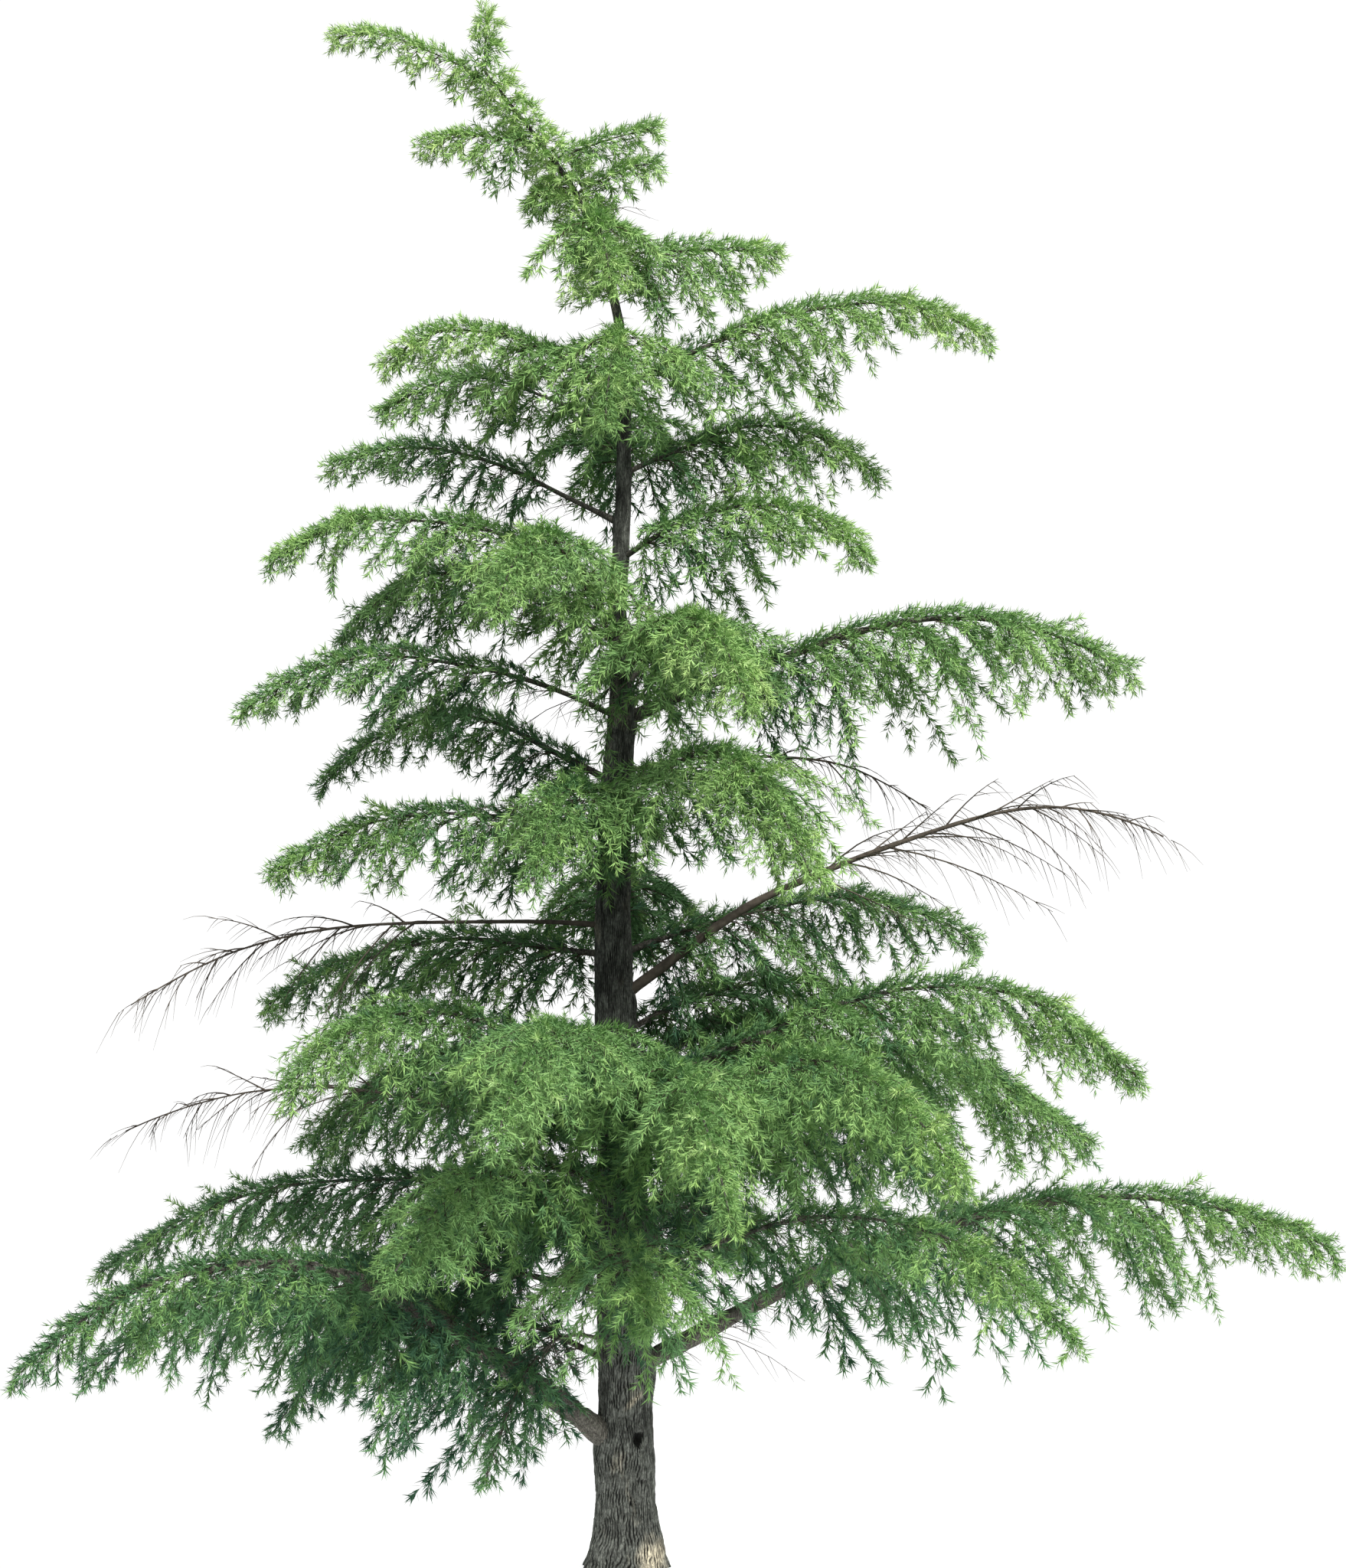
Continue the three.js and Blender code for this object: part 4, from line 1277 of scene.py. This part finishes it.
def wood_material(name, tones, group, fine):
    """Smooth bark of twigs, mottled."""
    material, tree, surface = new_material(name)
    tint = mottled(tree, surface, group, tones, (3.0, fine), 0.7)
    tree.links.new(tint, surface.inputs["Base Color"])
    surface.inputs["Specular IOR Level"].default_value = 0.25
    return material


def vertex_value(tree, name):
    node = tree.nodes.new("ShaderNodeAttribute")
    node.attribute_name = name
    return node.outputs["Fac"]


def fine_ridges(tree):
    """From 0 in a fine furrow to 1 beside it."""
    waves = object_noise(tree, FURROW_SCALE, 3, (1, 1, 0.2))
    folded = maths(tree, "ABSOLUTE", maths(tree, "SUBTRACT", waves, 0.5))
    return ramp(tree, folded, 0.0, FURROW_WIDTH)


def bark_material(name, group, tones):
    """Furrowed bark: thin furrows darkened with painted shade between grey ridges, which are lighter in
    random patches, partly as a painted highlight; pale where it has flaked, and, on the trunk, at the
    painted sunlit patch and the pale streak.
    """
    material, tree, surface = new_material(name)
    plate_tone, flake_and_sunlit_tone = tones
    # Lighter tone on the plates, mottled at random: partly a painted highlight on the ridges
    lighter_plate_and_highlight_tone = tuple(tone * LIGHTER_PLATES_AND_HIGHLIGHT for tone in plate_tone)
    tint = mottled(tree, surface, group, (plate_tone, lighter_plate_and_highlight_tone), (5.0, 70.0), 0.78)
    # Pale where the bark has flaked at random, and on the trunk at the painted sunlit patch and the pale
    # streak
    flaked = ramp(tree, object_noise(tree, 8.0, 4, (1, 1, 0.4)), 0.60, 0.72, 0.0, 0.35)
    flake_and_sunlit_share = maths(tree, "MAXIMUM", flaked, vertex_value(tree, "pale"))
    paled = blend(tree, flake_and_sunlit_share, tint, flake_and_sunlit_tone)
    # Painted shade darkens the furrows, the cracks, the holes and the fine furrows
    ridge = fine_ridges(tree)
    whole = ramp(tree, vertex_value(tree, "plate"), OPEN_FURROW, WHOLE_PLATE)
    share = maths(tree, "ADD", maths(tree, "MULTIPLY", ridge, RIDGE_SHARE), 1 - RIDGE_SHARE)
    dark = tuple(tone * PAINTED_FURROW_SHADE for tone in plate_tone)
    colour = blend(tree, maths(tree, "MULTIPLY", whole, share), dark, paled)
    tree.links.new(colour, surface.inputs["Base Color"])
    relief = tree.nodes.new("ShaderNodeBump")
    relief.inputs["Strength"].default_value = 0.8
    relief.inputs["Distance"].default_value = 0.004
    tree.links.new(ridge, relief.inputs["Height"])
    tree.links.new(relief.outputs["Normal"], surface.inputs["Normal"])
    surface.inputs["Specular IOR Level"].default_value = 0.2
    return material


# Stage, light and camera


def make_floor():
    """A pale disc of ground, which isn't part of the tree."""
    turns = [2 * math.pi * side / FLOOR_SIDES for side in range(FLOOR_SIDES)]
    rim = [on_circle(FLOOR_RADIUS, turn, -FLOOR_DEPTH) for turn in turns]
    floor = mesh_object("floor", rim, [tuple(range(FLOOR_SIDES))])
    material, _, surface = new_material("floor_white")
    surface.inputs["Base Color"].default_value = (0.92, 0.92, 0.92, 1)
    surface.inputs["Roughness"].default_value = 0.9
    surface.inputs["Emission Color"].default_value = (1, 1, 1, 1)
    surface.inputs["Emission Strength"].default_value = 0.8
    floor.data.materials.append(material)


def make_world():
    """White to the camera, and as a light bright above and dim below."""
    world = bpy.data.worlds.new("white")
    bpy.context.scene.world = world
    world.use_nodes = True
    tree = world.node_tree
    sky = tree.nodes["Background"]
    sky.inputs["Color"].default_value = (1, 1, 1, 1)
    seen = tree.nodes.new("ShaderNodeLightPath")
    place = tree.nodes.new("ShaderNodeTexCoord")
    parts = tree.nodes.new("ShaderNodeSeparateXYZ")
    tree.links.new(place.outputs["Generated"], parts.inputs[0])
    light = ramp(tree, parts.outputs["Z"], -0.4, 0.9, LIGHT_BELOW, LIGHT_ABOVE)
    strength = ramp(tree, seen.outputs["Is Camera Ray"], 0, 1, light, BACKDROP)
    tree.links.new(strength, sky.inputs["Strength"])


def make_sun():
    """Soft light from above, to the right and in front."""
    light = bpy.data.lights.new("sun", "SUN")
    light.energy = SUN_STRENGTH
    light.angle = math.radians(SUN_WIDTH)
    light.color = SUN_COLOUR
    sun = bpy.data.objects.new("sun", light)
    sun.rotation_euler = Vector(SUN_PLACE).to_track_quat("Z", "Y").to_euler()
    bpy.context.scene.collection.objects.link(sun)


def make_camera():
    data = bpy.data.cameras.new("camera")
    data.lens = CAMERA_LENS
    data.sensor_width = CAMERA_SENSOR
    data.clip_end = CAMERA_END
    camera = bpy.data.objects.new("camera", data)
    camera.location = CAMERA_PLACE
    aim = Vector(CAMERA_TARGET) - Vector(CAMERA_PLACE)
    camera.rotation_euler = aim.to_track_quat("-Z", "Y").to_euler()
    bpy.context.scene.collection.objects.link(camera)
    bpy.context.scene.camera = camera


# The whole tree


def keep(piece, nodes):
    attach(piece, "root")
    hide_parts(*nodes)


def add_trunk(limbs, mottle):
    trunk = bark_trunk(limbs)
    trunk.data.materials.append(bark_material("bark", mottle, TRUNK_TONES))
    keep(trunk, ["trunk"])


def add_live_wood(live, mottle):
    """The boughs with relief in their bark, and the plain stems of the other limbs."""
    bark = bark_material("bough_bark", mottle, BOUGH_TONES)
    boughs = [limb for limb in live if limb.bough]
    bough_piece = wood_piece("bough_bark", boughs, BOUGH_RINGS, True, bark)
    keep(bough_piece, ["bough_" + limb.name for limb in boughs])
    stems = [limb for limb in live if not limb.bough]
    stem_piece = wood_piece("limb_stems", stems, STEM_RINGS, False, bark)
    keep(stem_piece, [limb.node() for limb in stems])


def add_dead_wood(live, dead, tubes, mottle):
    """The dead limbs with their branches, and the dead twigs of the live ones."""
    bark = wood_material("dead_bark", DEAD_TONES, mottle, 30.0)
    nodes = [limb.node() for limb in dead]
    dead_limbs = wood_piece("dead_limbs", dead, DEAD_RINGS, True, bark)
    keep(dead_limbs, ["bough_dead_right"] + nodes)
    growth = Growth()
    for limb in dead:
        grow_dead(limb, growth)
    for limb in live:
        grow_bare(limb, growth)
    keep(twig_piece("dead_twigs", growth.paths, tubes, bark), nodes)


def grouped_growth(limbs):
    """Growth of neighbouring limbs together, each group small enough for one piece."""
    groups = [Growth()]
    for limb in limbs:
        own = Growth()
        grow_leafy(limb, own)
        if len(groups[-1].tufts) + len(own.tufts) > MOST_NEEDLES // NEEDLES_PER_TUFT:
            groups.append(Growth())
        groups[-1].paths += own.paths
        groups[-1].tufts += own.tufts
        groups[-1].nodes.append(limb.node())
    grow_leader(groups[-1])
    return groups


def add_foliage(live, tubes, mottle):
    bark = wood_material("twig_bark", TWIG_TONES, mottle, 40.0)
    # The greens serve both as the needles' own tones and as painted shade and light
    greens = [needle_material(f"needles_{i}", green, mottle) for i, green in enumerate(GREENS, 1)]
    tufts = tuft_tree()
    for number, growth in enumerate(grouped_growth(live), 1):
        twigs = twig_piece(f"twigs_{number}", growth.paths, tubes, bark)
        keep(twigs, growth.nodes)
        needles = needle_piece(f"needles_{number}", growth.tufts, tufts, greens)
        keep(needles, growth.nodes)


def build_tree():
    # Without a seed of its own Blender takes vector noise from the clock, and each run differs
    noise.seed_set(WANDER_SEED)
    limbs = [Limb(index, row) for index, row in enumerate(LIMB_ROWS)]
    live = [limb for limb in limbs if not limb.dead]
    dead = [limb for limb in limbs if limb.dead]
    mottle = mottle_group()
    tubes = twig_tree()
    add_trunk(limbs, mottle)
    add_live_wood(live, mottle)
    add_dead_wood(live, dead, tubes, mottle)
    add_foliage(live, tubes, mottle)


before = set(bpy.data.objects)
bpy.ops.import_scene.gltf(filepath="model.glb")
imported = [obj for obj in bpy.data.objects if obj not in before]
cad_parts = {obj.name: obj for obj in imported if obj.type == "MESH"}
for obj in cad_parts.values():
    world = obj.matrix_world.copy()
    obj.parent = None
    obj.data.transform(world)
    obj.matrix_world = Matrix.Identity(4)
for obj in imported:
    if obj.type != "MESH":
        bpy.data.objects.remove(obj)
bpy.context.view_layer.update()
bpy.context.scene.view_settings.view_transform = "Standard"
make_camera()
make_world()
make_sun()
make_floor()
build_tree()
